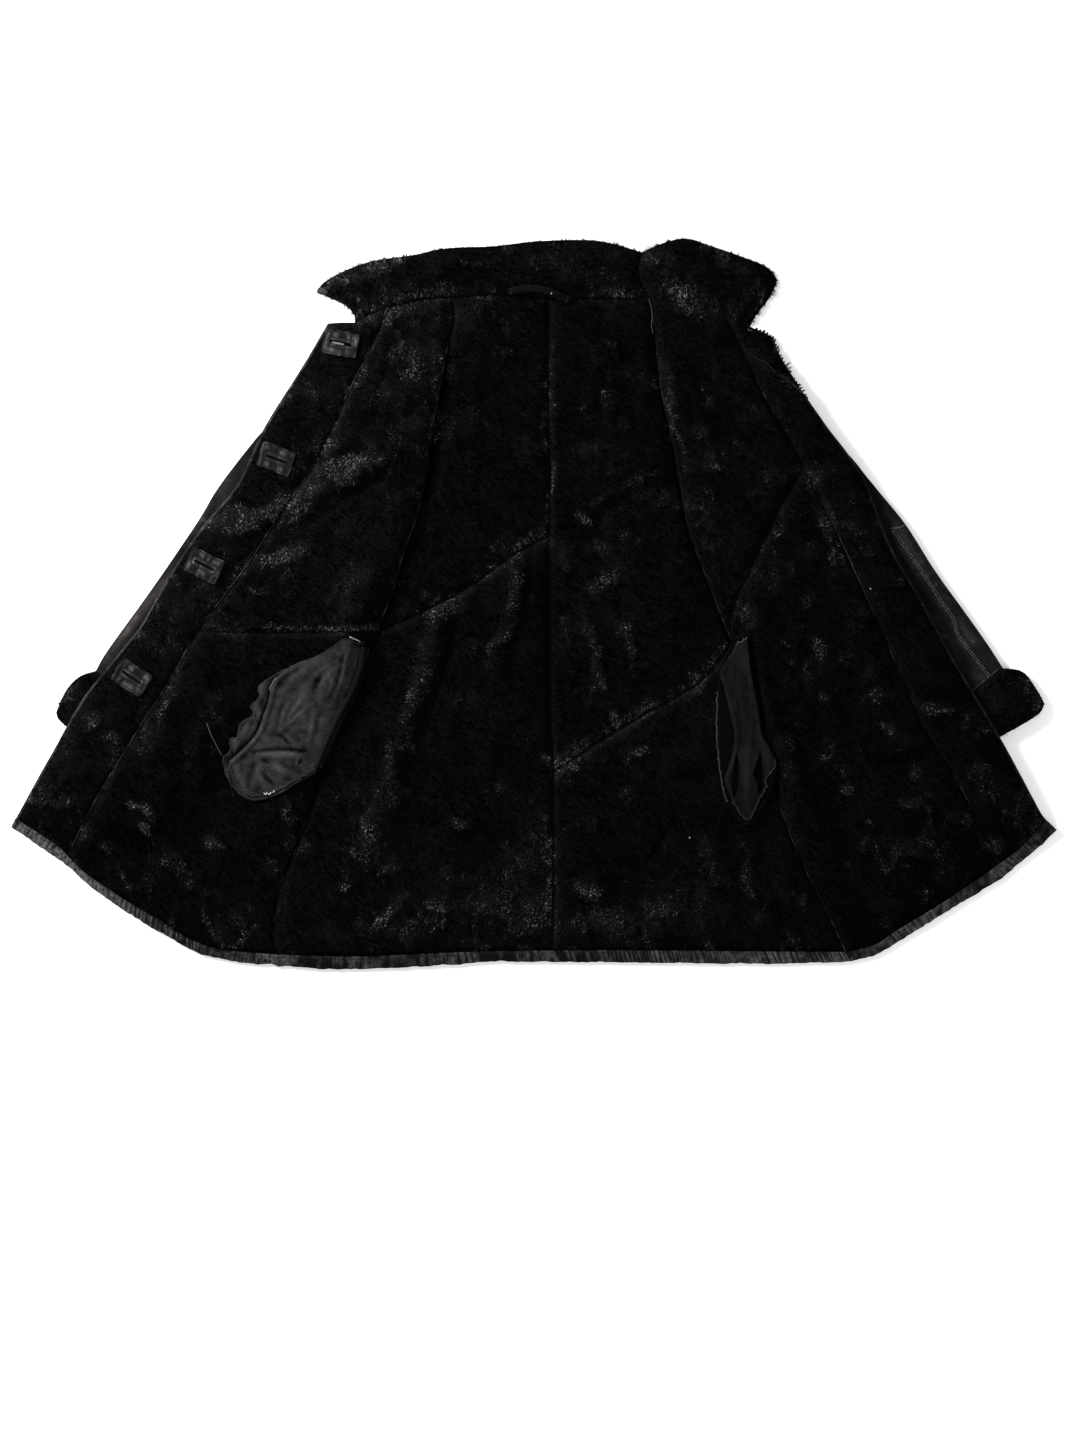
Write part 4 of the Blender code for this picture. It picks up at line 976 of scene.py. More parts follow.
def finish(tree, shader, colour, rough=None, height=None, millimetres=0.0, strength=1.0):
    """Gives a shader its colour and, where they vary, its roughness and a bump in mm."""
    tree.links.new(colour, shader.inputs["Base Color"])
    if rough is not None:
        tree.links.new(rough, shader.inputs["Roughness"])
    if height is not None:
        bump = put(tree, "Bump", Height=height, Distance=millimetres * MM, Strength=strength)
        tree.links.new(bump, shader.inputs["Normal"])


def wool(name, root, tip, grey):
    """Sheared wool, dyed black in the vat: matt, darkest at the root, and grey where the points'
    tone is high: painted sheen in brushed places, and worn tips along seams and edges."""
    material, tree, shader, place = start(name, Specular_IOR_Level=0.006)
    tone = put(tree, "Attribute", TONE, "Fac")
    depth = put(tree, "Attribute", DEPTH, "Fac")
    fibre = put(tree, "TexNoise", Vector=place, Scale=patch_scale(2.2), Detail=2.0, Roughness=0.6)
    dark = put(tree, "Mix", COLOUR, 2, i0=depth, i6=root, i7=tip)
    worn = put(tree, "Math", TIMES, i0=tone, i1=depth)
    uneven = put(tree, "MapRange", Value=fibre, i1=0.30, i2=0.62, i3=0.5, i4=1.1)
    speck = put(tree, "Math", TIMES, i0=worn, i1=uneven)
    colour = put(tree, "Mix", COLOUR, 2, i0=speck, i6=dark, i7=grey)
    rough = put(tree, "MapRange", Value=fibre, i1=0.3, i2=0.7, i3=0.84, i4=0.96)
    finish(tree, shader, colour, rough, fibre, 0.25, 0.4)
    return material


def packed_wool(name, dark, grey):
    """The wool below the tips, packed to a matt black felt, paler where its tone is high: worn, and
    painted sheen in brushed places.
    """
    material, tree, shader, place = start(name, Specular_IOR_Level=0.03, Roughness=0.95)
    tone = put(tree, "Attribute", TONE, "Fac")
    fibre = put(tree, "TexNoise", Vector=place, Scale=patch_scale(1.5), Detail=4.0, Roughness=0.7)
    uneven = put(tree, "MapRange", Value=fibre, i1=0.35, i2=0.70, i3=0.15, i4=0.85)
    share = put(tree, "Math", TIMES, i0=tone, i1=uneven)
    colour = put(tree, "Mix", COLOUR, 2, i0=share, i6=dark, i7=grey)
    finish(tree, shader, colour, None, fibre, 1.2, 0.7)
    return material


def suede(name, dark, light, worn, nap=1.1, shade=None):
    """Sheepskin hide with a buffed suede face: a fine nap, cloudy where it is rubbed, and with
    faint wrinkles. With a shade the points' tone takes it down to that colour."""
    material, tree, shader, place = start(name, Specular_IOR_Level=0.05, Sheen_Weight=0.04,
                                          Sheen_Roughness=0.5)
    cloud = put(tree, "TexNoise", Vector=place, Scale=patch_scale(46.0), Detail=3.0, Roughness=0.6)
    grain = put(tree, "TexNoise", Vector=place, Scale=patch_scale(nap), Detail=4.0, Roughness=0.7)
    wrinkle = put(tree, "TexNoise", Vector=place, Scale=patch_scale(9.0), Detail=2.0,
                  Roughness=0.5)
    clouded = put(tree, "MapRange", Value=cloud, i1=0.35, i2=0.65)
    base = put(tree, "Mix", COLOUR, 2, i0=clouded, i6=dark, i7=light)
    creased = put(tree, "MapRange", Value=wrinkle, i1=0.52, i2=0.72, i3=0.0, i4=0.75)
    grained = put(tree, "MapRange", Value=grain, i1=0.3, i2=0.7)
    pale_share = put(tree, "Math", TIMES, i0=creased, i1=grained)
    face = put(tree, "Mix", COLOUR, 2, i0=pale_share, i6=base, i7=worn)
    if shade:
        tone = put(tree, "Attribute", TONE, "Fac")
        face = put(tree, "Mix", COLOUR, 2, i0=tone, i6=shade, i7=face)
    rough = put(tree, "MapRange", Value=cloud, i1=0.3, i2=0.7, i3=0.78, i4=0.92)
    deep = put(tree, "Math", TIMES, i0=wrinkle, i1=1.6)
    finish(tree, shader, face, rough, put(tree, "Math", PLUS, i0=deep, i1=grain), 0.5, 0.6)
    return material


def nappa(name, dark, light, worn, pebble=1.8):
    """Dyed sheep leather with its smooth grain side out: soft gloss, paler on the crests that rub
    and darker in the hollows, which the points' tone gives; the darkening is painted shade. Its
    pebbles are well under 1 mm wide in life, and are drawn one to two mm wide so that they show."""
    material, tree, shader, place = start(name, Specular_IOR_Level=0.05)
    tone = put(tree, "Attribute", TONE, "Fac")
    cells = put(tree, "TexVoronoi", Vector=place, Scale=patch_scale(pebble))
    cloud = put(tree, "TexNoise", Vector=place, Scale=patch_scale(22.0), Detail=3.0, Roughness=0.6)
    streak = put(tree, "TexNoise", Vector=place, Scale=patch_scale(4.0), Detail=3.0,
                 Roughness=0.65)
    clouded = put(tree, "MapRange", Value=cloud, i1=0.35, i2=0.65)
    base = put(tree, "Mix", COLOUR, 2, i0=clouded, i6=dark, i7=light)
    uneven = put(tree, "MapRange", Value=streak, i1=0.34, i2=0.66, i3=0.25, i4=1.0)
    pale_share = put(tree, "Math", TIMES, i0=tone, i1=uneven)
    colour = put(tree, "Mix", COLOUR, 2, i0=pale_share, i6=base, i7=worn)
    rough = put(tree, "MapRange", Value=streak, i1=0.3, i2=0.7, i3=0.45, i4=0.67)
    faint = put(tree, "Math", TIMES, i0=streak, i1=0.8)
    finish(tree, shader, colour, rough, put(tree, "Math", PLUS, i0=cells, i1=faint), 0.35, 0.6)
    return material


def twill(name, dark, light, lint, rib=1.3, turn=0.6):
    """Cotton pocketing and tape, woven and piece dyed, faded on the crests of its creases and
    darker in their hollows, which the points' tone gives; the darkening is painted shade. Its
    threads lie about 0.4 mm apart in life, and are drawn 2 to 3 mm apart so that the weave shows."""
    material, tree, shader, place = start(name, Specular_IOR_Level=0.02)
    tone = put(tree, "Attribute", TONE, "Fac")
    turned_place = put(tree, "Mapping", Vector=place, Rotation=(0.0, 0.0, turn))
    ribs = put(tree, "TexWave", {"bands_direction": "X"}, "Fac", Vector=turned_place,
               Scale=rib_scale(rib), Distortion=1.2, Detail=2.0, Detail_Scale=1.4)
    across = put(tree, "TexWave", {"bands_direction": "Y"}, "Fac", Vector=turned_place,
                 Scale=rib_scale(rib * 0.8), Distortion=1.0, Detail=1.0)
    cloud = put(tree, "TexNoise", Vector=place, Scale=patch_scale(26.0), Detail=4.0,
                Roughness=0.62)
    fuzz = put(tree, "TexNoise", Vector=place, Scale=patch_scale(2.6), Detail=3.0, Roughness=0.7)
    uneven = put(tree, "MapRange", Value=cloud, i1=0.30, i2=0.70, i3=0.55, i4=1.25)
    faded_and_shaded = put(tree, "Math", TIMES, i0=tone, i1=uneven)
    base = put(tree, "Mix", COLOUR, 2, i0=faded_and_shaded, i6=dark, i7=light)
    crossed = put(tree, "MapRange", Value=across, i1=0.0, i2=1.0, i3=0.55, i4=1.0)
    weave = put(tree, "Math", TIMES, i0=ribs, i1=crossed)
    faint = put(tree, "Math", TIMES, i0=weave, i1=0.12)
    threads = put(tree, "Math", TIMES, i0=faint, i1=faded_and_shaded)
    woven = put(tree, "Mix", COLOUR, 2, i0=threads, i6=base, i7=lint)
    fuzzy = put(tree, "MapRange", Value=fuzz, i1=0.52, i2=0.80, i3=0.0, i4=0.6)
    linty = put(tree, "Math", TIMES, i0=fuzzy, i1=faded_and_shaded)
    colour = put(tree, "Mix", COLOUR, 2, i0=linty, i6=woven, i7=lint)
    rough = put(tree, "MapRange", Value=fuzz, i1=0.3, i2=0.7, i3=0.84, i4=0.96)
    nap = put(tree, "Math", TIMES, i0=fuzz, i1=0.9)
    finish(tree, shader, colour, rough, put(tree, "Math", PLUS, i0=weave, i1=nap), 0.2, 0.4)
    return material


def sewing_thread(name, dark, light):
    """Twisted polyester sewing thread: a slanted twist and a slight gloss. The twist is drawn
    1 to 2 mm from ridge to ridge, coarser than life, so that it shows."""
    material, tree, shader, place = start(name, Specular_IOR_Level=0.12)
    twist = put(tree, "TexWave", {"bands_direction": "DIAGONAL"}, "Fac", Vector=place,
                Scale=rib_scale(0.5), Distortion=0.6)
    colour = put(tree, "Mix", COLOUR, 2, i0=twist, i6=dark, i7=light)
    rough = put(tree, "MapRange", Value=twist, i1=0.0, i2=1.0, i3=0.7, i4=0.5)
    finish(tree, shader, colour, rough, twist, 0.1, 0.5)
    return material


def horn_polyester(name, dark, light):
    """Cast polyester button, turned and polished to look like dark horn: broad streaks, fine
    scratches and a clear gloss."""
    material, tree, shader, place = start(name, Specular_IOR_Level=0.5, IOR=1.54,
                                          Coat_Weight=0.25, Coat_Roughness=0.15)
    streak = put(tree, "TexWave", {"bands_direction": "X"}, "Fac", Vector=place,
                 Scale=rib_scale(6.0), Distortion=6.0, Detail=3.0)
    scratch = put(tree, "TexNoise", Vector=place, Scale=patch_scale(0.8), Detail=3.0,
                  Roughness=0.7)
    streaked = put(tree, "MapRange", Value=streak, i1=0.3, i2=0.9)
    colour = put(tree, "Mix", COLOUR, 2, i0=streaked, i6=dark, i7=light)
    rough = put(tree, "MapRange", Value=scratch, i1=0.3, i2=0.7, i3=0.22, i4=0.36)
    finish(tree, shader, colour, rough, scratch, 0.05, 0.3)
    return material


def studio_floor(name):
    """Matt white studio paper that glows a little, which keeps shadows soft."""
    material, tree, shader, place = start(name, Specular_IOR_Level=0.1, Roughness=0.9,
                                          Emission_Color=(1.0, 1.0, 1.0, 1.0),
                                          Emission_Strength=0.25)
    fibre = put(tree, "TexNoise", Vector=place, Scale=patch_scale(30.0), Detail=2.0,
                Roughness=0.5)
    finish(tree, shader, put(tree, "Mix", COLOUR, 2, i0=fibre, i6="#fafafa", i7="#ffffff"))
    return material


WOOL = wool("sheared_wool", "#010101", "#020202", "#929190")
TEASED = wool("teased_collar_wool", "#020202", "#040404", "#8f8c8a")
FELT = packed_wool("packed_wool", "#070708", "#3a3835")
SUEDE = suede("hide_suede", "#121111", "#1b1a1a", "#302e2c")
# Both sleeves are one hide: the right one's copy is paler and the left one's darker, painted light
# and shade from the key on the right sleeve's side
LIT_RIGHT_SUEDE = suede("right_sleeve_suede", "#232120", "#3c3938", "#706b68", shade="#060606")
SHADED_LEFT_SUEDE = suede("left_sleeve_suede", "#0e0d0d", "#222121", "#413f3e", shade="#030303")
EDGE_HIDE = suede("turned_hide_edge", "#161515", "#343231", "#686462", 0.8)
LEFT_EDGE_HIDE = suede("left_hide_edge", "#0a0a0a", "#1c1b1b", "#4a4746", 0.8)
TAB_HIDE = suede("collar_tab_hide", "#2b2b2c", "#3b3b3d", "#58585a", 0.8)
BINDING = nappa("hem_nappa", "#030303", "#080808", "#5c5b5b")
PATCH = nappa("patch_nappa", "#060606", "#0b0b0b", "#656565", 1.3)
RIGHT_CLOTH = twill("right_pocketing", "#040404", "#2f2f2f", "#5b5b5b")
LEFT_CLOTH = twill("left_pocketing", "#040404", "#181818", "#292929", 1.3, -0.2)
FACING_CLOTH = twill("facing_tape", "#080808", "#191817", "#32302e", 1.1, 0.25)
LOOP_TAPE = twill("grosgrain_tape", "#060607", "#0f0f10", "#201f1e", 1.5, 0.1)
BLACK_THREAD = sewing_thread("black_thread", "#0a0a0a", "#151414")
GREY_THREAD = sewing_thread("grey_thread", "#211f1d", "#403d3a")
LIGHT_THREAD = sewing_thread("light_thread", "#4a4744", "#7d7974")
PALE_THREAD = sewing_thread("pale_thread", "#b9b6b0", "#efece6")
BUTTON = horn_polyester("horn_polyester", "#0c0a09", "#241d18")


def dress(piece):
    """Lets a piece move with the coat."""
    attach(piece, "root")


def settle(piece, node, riders=()):
    """Lets a piece and what is fixed to it move with the coat, and hides the node that the piece
    stands for.
    """
    dress(piece)
    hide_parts(node)
    for rider in riders:
        dress(rider)


def cut_size(plan, top):
    """Flat width, length and area of a panel, measured along its surface, in metres."""
    points = np.dstack([plan, top])
    across = np.linalg.norm(np.diff(points, axis=1), axis=2).sum(1)
    down = np.linalg.norm(np.diff(points, axis=0), axis=2).sum(0)
    a = points[1:, 1:] - points[:-1, :-1]
    b = points[1:, :-1] - points[:-1, 1:]
    area = 0.5 * np.linalg.norm(np.cross(a, b), axis=2).sum() * MM * MM
    return [float(across.max() * MM), float(down.max() * MM)], float(area)


# The wool side: every panel is a skin with packed wool, and blades of wool rooted on it

centre, neck, cross, hem, collar = map(smoothed, (CENTRE_BACK, NECK, CROSS, HEM, COLLAR))
side_right, princess_right = smoothed(SIDE_RIGHT), smoothed(PRINCESS_RIGHT)
side_left, princess_left = smoothed(SIDE_LEFT), smoothed(PRINCESS_LEFT)
right_edge = joined(*smoothed(EDGE_RIGHT).values())
left_edge = joined(*smoothed(EDGE_LEFT).values())
right_neck = joined(neck["edge right"], neck["side right"], neck["back right"],
                    neck["back left"])
left_neck = joined(neck["side left"], neck["edge left"])

# Head, foot, left and right side, which of them are free edges, the creases, the tone of the
# wool, and how teased it is. The right front's panels get a higher tone than the left front's,
# partly painted light from the key on that side
PANELS = {
    "back_right_upper": (neck["back right"], cross["back right"], side_right["upper"],
                         centre["neck"], (), "back", 0.05, 0.0),
    "back_right_lower": (cross["back right"], hem["back right"], side_right["lower"],
                         joined(centre["waist"], centre["hem"]), (), "back", 0.08, 0.0),
    "back_left_upper": (neck["back left"], cross["back left"],
                        joined(centre["neck"], centre["waist"]), side_left["upper"],
                        (), "back", 0.05, 0.0),
    "back_left_lower": (cross["back left"], hem["back left"], centre["hem"],
                        side_left["lower"], (), "back", 0.08, 0.0),
    "side_front_right_upper": (neck["side right"], cross["front right"],
                               princess_right["upper"], side_right["upper"],
                               (), "right front", 0.15, 0.0),
    "side_front_right_lower": (cross["front right"], hem["side right"],
                               princess_right["lower"], side_right["lower"],
                               (), "right front", 0.07, 0.0),
    "front_right_edge": (joined(neck["free right"], neck["edge right"]), hem["edge right"],
                         right_edge, joined(*princess_right.values()),
                         ("left",), "right front", 0.14, 0.0),
    "side_front_left_upper": (neck["side left"], cross["front left"], side_left["upper"],
                              princess_left["upper"], (), "left front", 0.05, 0.0),
    "side_front_left_lower": (cross["front left"], hem["side left"], side_left["lower"],
                              princess_left["lower"], (), "left front", 0.05, 0.0),
    "front_left_edge": (joined(neck["edge left"], neck["free left"]), hem["edge left"],
                        joined(*princess_left.values()), left_edge,
                        ("right",), "left front", 0.06, 0.0),
    "collar_right": (collar["right edge"], right_neck, collar["right end"], collar["join"],
                     ("head", "left"), "collar", 0.12, 1.0),
    "collar_left": (collar["left edge"], left_neck, collar["join"], collar["left end"],
                    ("head", "right"), "collar", 0.12, 1.0),
}


pocket_rings = []
for table in POCKETS.values():
    pocket_rings.append(np.vstack([smooth(table[key], 4)[::way] for key, way in
                                   (("head", 1), ("right", 1), ("foot", -1), ("left", -1))]))
loop_line = smooth(LOOP_LINE, 4)


def clear_of_covers(points):
    """Where wool may stand, which is not under a patch, a bag or the loop, and how the wool
    beside a patch is pushed over it or away from it."""
    free = np.ones(len(points), bool)
    push = np.zeros_like(points)
    for x, d, degrees in PATCHES.values():
        way = points - (x, d)
        over = np.abs(turned(way, -degrees)) - (PATCH_LENGTH / 2, PATCH_WIDTH / 2)
        over = over.max(1)
        free &= over > -0.8
        way /= np.maximum(np.linalg.norm(way, axis=1), 1e-6)[:, None]
        push -= way * (0.75 * drift(points, 5.0, 28) * (1 - ease(over / 4.0)))[:, None]
    for ring in pocket_rings:
        near = near_box(points, ring, 0.0)
        free[near] &= ~inside(points[near], ring)
    near = near_box(points, loop_line, LOOP_WIDTH)
    free[near] &= nearest(points[near], loop_line)[0] > LOOP_WIDTH / 2
    return free, push


# Each hem seam lies further down than this, and each other seam at the foot of a panel higher
HEM_FROM = 592


def comb(points, gaps, places, free, edge_lean):
    """How the wool leans because of seams and free edges, and how short it is there."""
    lean = np.zeros_like(points)
    short = np.ones(points.shape[:-1])
    over_hem = mixed(points, (0.75, 11.0, 92), (0.35, 30.0, 93)) - 0.35
    for key, gap in gaps.items():
        away = (points - places[key]) / np.maximum(gap, 1e-6)[..., None]
        if key in free:
            lean += away * (edge_lean * (1 - ease(gap / 7.0)))[..., None]
        else:
            at_hem = (key == "foot") & (places[key][..., 1] > HEM_FROM)
            pull = np.where(at_hem, over_hem, 0.75)
            lean += away * (pull * (1 - ease(gap / 6.0)))[..., None]
        if edge_lean > -0.3 or key not in free:
            short = np.minimum(short, 0.45 + 0.55 * ease(gap / 7.0))
    return lean, short


def blades(name, surface, fields, teased, seed, material):
    """Blades of wool rooted over a grid surface: some bent in two, more of them straight."""
    rng = np.random.default_rng(seed)
    a, b = surface[:-1, :-1], surface[:-1, 1:]
    c, d = surface[1:, 1:], surface[1:, :-1]
    area = 0.5 * np.linalg.norm(np.cross(c - a, b - d), axis=2)
    bent = int(area.sum() * BENT_PER_MM2)
    count = bent + int(area.sum() * STRAIGHT_PER_MM2)
    cell = rng.choice(area.size, count, p=area.ravel() / area.sum())
    row, column = np.divmod(cell, area.shape[1])
    u, v = rng.random((2, count))

    def at(values):
        if values.ndim == 2:
            return at(values[..., None])[:, 0]
        s, t = u[:, None], v[:, None]
        return ((1 - s) * (1 - t) * values[row, column] + s * (1 - t) * values[row, column + 1]
                + s * t * values[row + 1, column + 1] + (1 - s) * t * values[row + 1, column])
    root, normal = at(surface), at(normals_of(surface))
    seam, edge = at(fields["seam"]), at(fields["edge"])
    lean, short = at(fields["lean"]), at(fields["short"])
    flat = root[:, :2]
    keep, push = clear_of_covers(flat)
    keep &= (seam > 0.8) & (edge > at(fields["bare"]))
    is_bent = np.arange(count) < bent
    brushed_sheen = brushed_sheen_at(flat)

    # Fine relief: the roots rise and sink with it, and the surface tilts
    calm = ease(seam / 8.0) * ease((edge + 2.0) / 8.0)
    relief = crinkle(flat)
    tilt = np.stack([crinkle(flat + (0.8, 0.0)) - relief, crinkle(flat + (0.0, 0.8)) - relief], 1)
    tilt *= (calm / 0.8)[:, None]
    root[:, 2] += relief * calm
    normal[:, :2] -= tilt

    size = LOCK_SIZE * (1 + 0.3 * teased)
    middle, number = locks(flat, size, seed)
    nap = np.stack([mixed(flat, (0.20, 40.0, 11), (0.16, 9.0, 12)),
                    mixed(flat, (0.20, 44.0, 13), (0.16, 8.0, 14), middle=0.22)], axis=1)
    turn = (number * 977.0) % math.tau
    curl = 0.12 + 0.16 * teased + 0.22 * brushed_sheen
    nap += np.stack([np.cos(turn), np.sin(turn)], axis=1) * curl[:, None]
    nap += rng.normal(0, 0.20 + 0.06 * teased, (count, 2)) + lean + push
    length = np.linalg.norm(nap, axis=1)
    nap *= (np.minimum(length, 0.95) / np.maximum(length, 1e-6))[:, None]

    long = BLADE_LENGTH * (1 + 0.2 * teased) * (0.7 + 0.45 * rng.random(count)) * short
    long *= 0.92 + 0.16 * number + 0.10 * brushed_sheen
    way = np.hstack([nap, np.zeros((count, 1))])
    to_lock = np.hstack([middle - flat, np.zeros((count, 1))]) * (0.30 + 0.1 * teased)
    rise = (0.80 - 0.25 * np.linalg.norm(nap, axis=1))[:, None]
    long = long[:, None]
    mid = root + normal * (long * rise * 0.62) + way * (long * 0.22) + to_lock * 0.35
    tip = root + normal * (long * rise) + way * (long * 0.62) + to_lock
    tip[:, 2] = np.maximum(tip[:, 2], root[:, 2] + 0.5)
    root = root - normal * 0.5

    turn = rng.random(count) * math.tau
    side = np.stack([np.cos(turn), np.sin(turn), rng.normal(0, 0.2, count)], axis=1)
    wide = BLADE_WIDTH * (0.7 + 0.6 * rng.random(count))[:, None] / 2
    # Each blade's tone: random specks and tufts; the painted sheen of brushed places (patchy);
    # paler where worn along seams and edges; and paler on the fine relief's crests and darker in
    # its dimples, painted light and shade
    speck = rng.random(count) ** 3
    streaks = tufts(flat)
    broken = 0.40 * drift(flat * (1.0, 0.7), 7.0, 86) + 0.22 * drift(flat, 2.8, 87) - 0.08
    patchy = ease(1.5 * brushed_sheen + broken) * ease(brushed_sheen / 0.25) * (0.12 + 0.68 * brushed_sheen)
    value = (at(fields["base"]) * (0.05 + 0.80 * streaks) + patchy
             + at(fields["worn"]) * (0.05 + 0.45 * streaks))
    value = np.clip(value * (0.18 + 2.5 * speck) * np.clip(1 + 0.45 * relief, 0.3, 1.6), 0, 1)

    # Turn each blade's face up (the plan is mirrored), and shade it as part of the surface
    left, right = root - side * wide, root + side * wide
    down = np.cross(right - left, tip - left)[:, 2] > 0
    left[down], right[down] = right[down], left[down].copy()
    side[down] *= -1
    shade = normal.copy()
    shade[:, :2] += 0.30 * nap + (flat - middle) * (0.5 / size) + rng.normal(0, 0.32, (count, 2))
    shade /= np.linalg.norm(shade, axis=1)[:, None]
    shade *= (1, -1, 1)
    one = keep & is_bent
    two = keep & ~is_bent
    narrowed = side * wide * 0.8
    corners = np.stack([left, right, mid + narrowed, mid - narrowed, tip], axis=1)[one]
    spikes = np.stack([left, right, tip], axis=1)[two]
    return blade_mesh(name, corners, value[one], shade[one], spikes, value[two], shade[two],
                      material)


def blade_mesh(name, corners, value, shade, spikes, spike_value, spike_shade, material):
    """One mesh from bent blades of five corners and straight ones of three, with each blade's
    tone and the normal that it is shaded by."""
    bent, straight = len(corners), len(spikes)
    mesh = bpy.data.meshes.new(name)
    points = in_metres(np.vstack([corners.reshape(-1, 3), spikes.reshape(-1, 3)]))
    mesh.vertices.add(len(points))
    mesh.vertices.foreach_set("co", points.ravel())
    first = np.arange(bent)[:, None] * 5
    loops = np.concatenate([
        np.concatenate([first + (0, 1, 2, 3), first + (3, 2, 4)], axis=1).ravel(),
        bent * 5 + np.arange(straight * 3)]).astype(np.int32)
    mesh.loops.add(len(loops))
    mesh.loops.foreach_set("vertex_index", loops)
    starts = np.concatenate([(np.arange(bent)[:, None] * 7 + (0, 4)).ravel(),
                             bent * 7 + np.arange(straight) * 3]).astype(np.int32)
    mesh.polygons.add(len(starts))
    mesh.polygons.foreach_set("loop_start", starts)
    mesh.polygons.foreach_set("use_smooth", np.ones(len(starts), bool))
    mesh.update(calc_edges=True)
    mark(mesh, "tone", np.concatenate([np.repeat(value, 5), np.repeat(spike_value, 3)]))
    mark(mesh, "depth", np.concatenate([np.tile([0.5, 0.5, 0.8, 0.8, 1.0], bent),
                                        np.tile([0.55, 0.55, 1.0], straight)]))
    normals = np.vstack([np.repeat(shade, 5, axis=0), np.repeat(spike_shade, 3, axis=0)])
    kept = mesh.attributes.new("custom_normal", "FLOAT_VECTOR", "POINT")
    kept.data.foreach_set("vector", normals.astype(np.float32).ravel())
    low, high = points.min(0), points.max(0)
    flat = (points[loops, :2] - low[:2]) / (high[:2] - low[:2])
    mesh.uv_layers.new(name="OFBake").data.foreach_set("uv", flat.ravel())
    mesh.materials.append(material)
    return linked(name, mesh)


def wool_fields(plan, sides, free, tone, bare, edge_lean):
    """What the wool does at each point of a grid: distances, lean, length and paleness."""
    gaps, places = {}, {}
    for key, line in sides.items():
        gaps[key], places[key] = nearest(plan, line)
    none = [np.full(plan.shape[:2], NO_SIDE)]
    seam = np.min([gap for key, gap in gaps.items() if key not in free] or none, axis=0)
    edge = np.min([gap for key, gap in gaps.items() if key in free] or none, axis=0)
    lean, short = comb(plan, gaps, places, free, edge_lean)
    brushed_sheen = brushed_sheen_at(plan)
    cloud = np.clip(mixed(plan, (0.4, 70.0, 21), (0.35, 24.0, 22), middle=0.5), 0.1, 1.2)
    worn = ease((seam - 0.6) / 1.4) * (1 - ease((seam - 2.6) / 3.6))
    worn *= np.clip(0.04 + 0.30 * drift(plan, 38.0, 23), 0, 1)
    worn += 0.5 * (1 - ease(edge / 3.5)) * np.clip(0.3 + drift(plan, 30.0, 24), 0, 1)
    # The ragged upper corner of the left front: the rim is bare there, and the wool long
    x, d = plan[..., 0], plan[..., 1]
    torn = ((x > 215) & (d < 125)) * ease((125.0 - d) / 40.0)
    shaggy = torn * (edge < 12) * (0.5 + 0.7 * drift(plan, 8.0, 94))
    if free and bare > 0:
        shaggy = np.clip(shaggy, 0, 1)
        worn = worn + 0.6 * shaggy * (1 - ease(edge / 9.0))
        lean += lean * (11.0 * shaggy)[..., None]
        short = np.maximum(short, shaggy * 1.7)
        bare = bare + 1.2 * drift(plan, 26.0, 29) - 2.8 * torn
    elif free:
        short = short + 0.5 * (1 - ease(edge / 6.0)) * np.clip(drift(plan, 9.0, 95), 0, 1)
    return {"seam": seam, "edge": edge, "lean": lean, "short": short, "brushed_sheen": brushed_sheen,
            "worn": worn, "bare": np.full(seam.shape, bare), "base": tone * cloud,
            "felt": np.clip(0.6 * tone * cloud + 0.32 * brushed_sheen, 0, 1)}


# Rows of grid points at each side of a panel, and the rows next to them
RIMS = {
    "head": (np.s_[0], np.s_[1]), "foot": (np.s_[-1], np.s_[-2]),
    "left": (np.s_[:, 0], np.s_[:, 1]), "right": (np.s_[:, -1], np.s_[:, -2]),
}


def lowered(name, line, way, low):
    """Underside heights along a seam, let down to the neighbour or to the sleeve head between."""
    others = [other for other in PANELS if other != name]
    found = []
    for (x, d), (a, b), height in zip(line, way, low):
        beside = hits((x + 2 * a, d + 2 * b), others, up=True)
        between = hits((x - 2 * a, d - 2 * b), ("sleeve_right_over", "sleeve_left_over"))
        floor = [z + 1.0 for z in beside] + [z - 0.4 for z in between]
        found.append(min(height, max(floor)) if beside else height)
    return np.array(found)


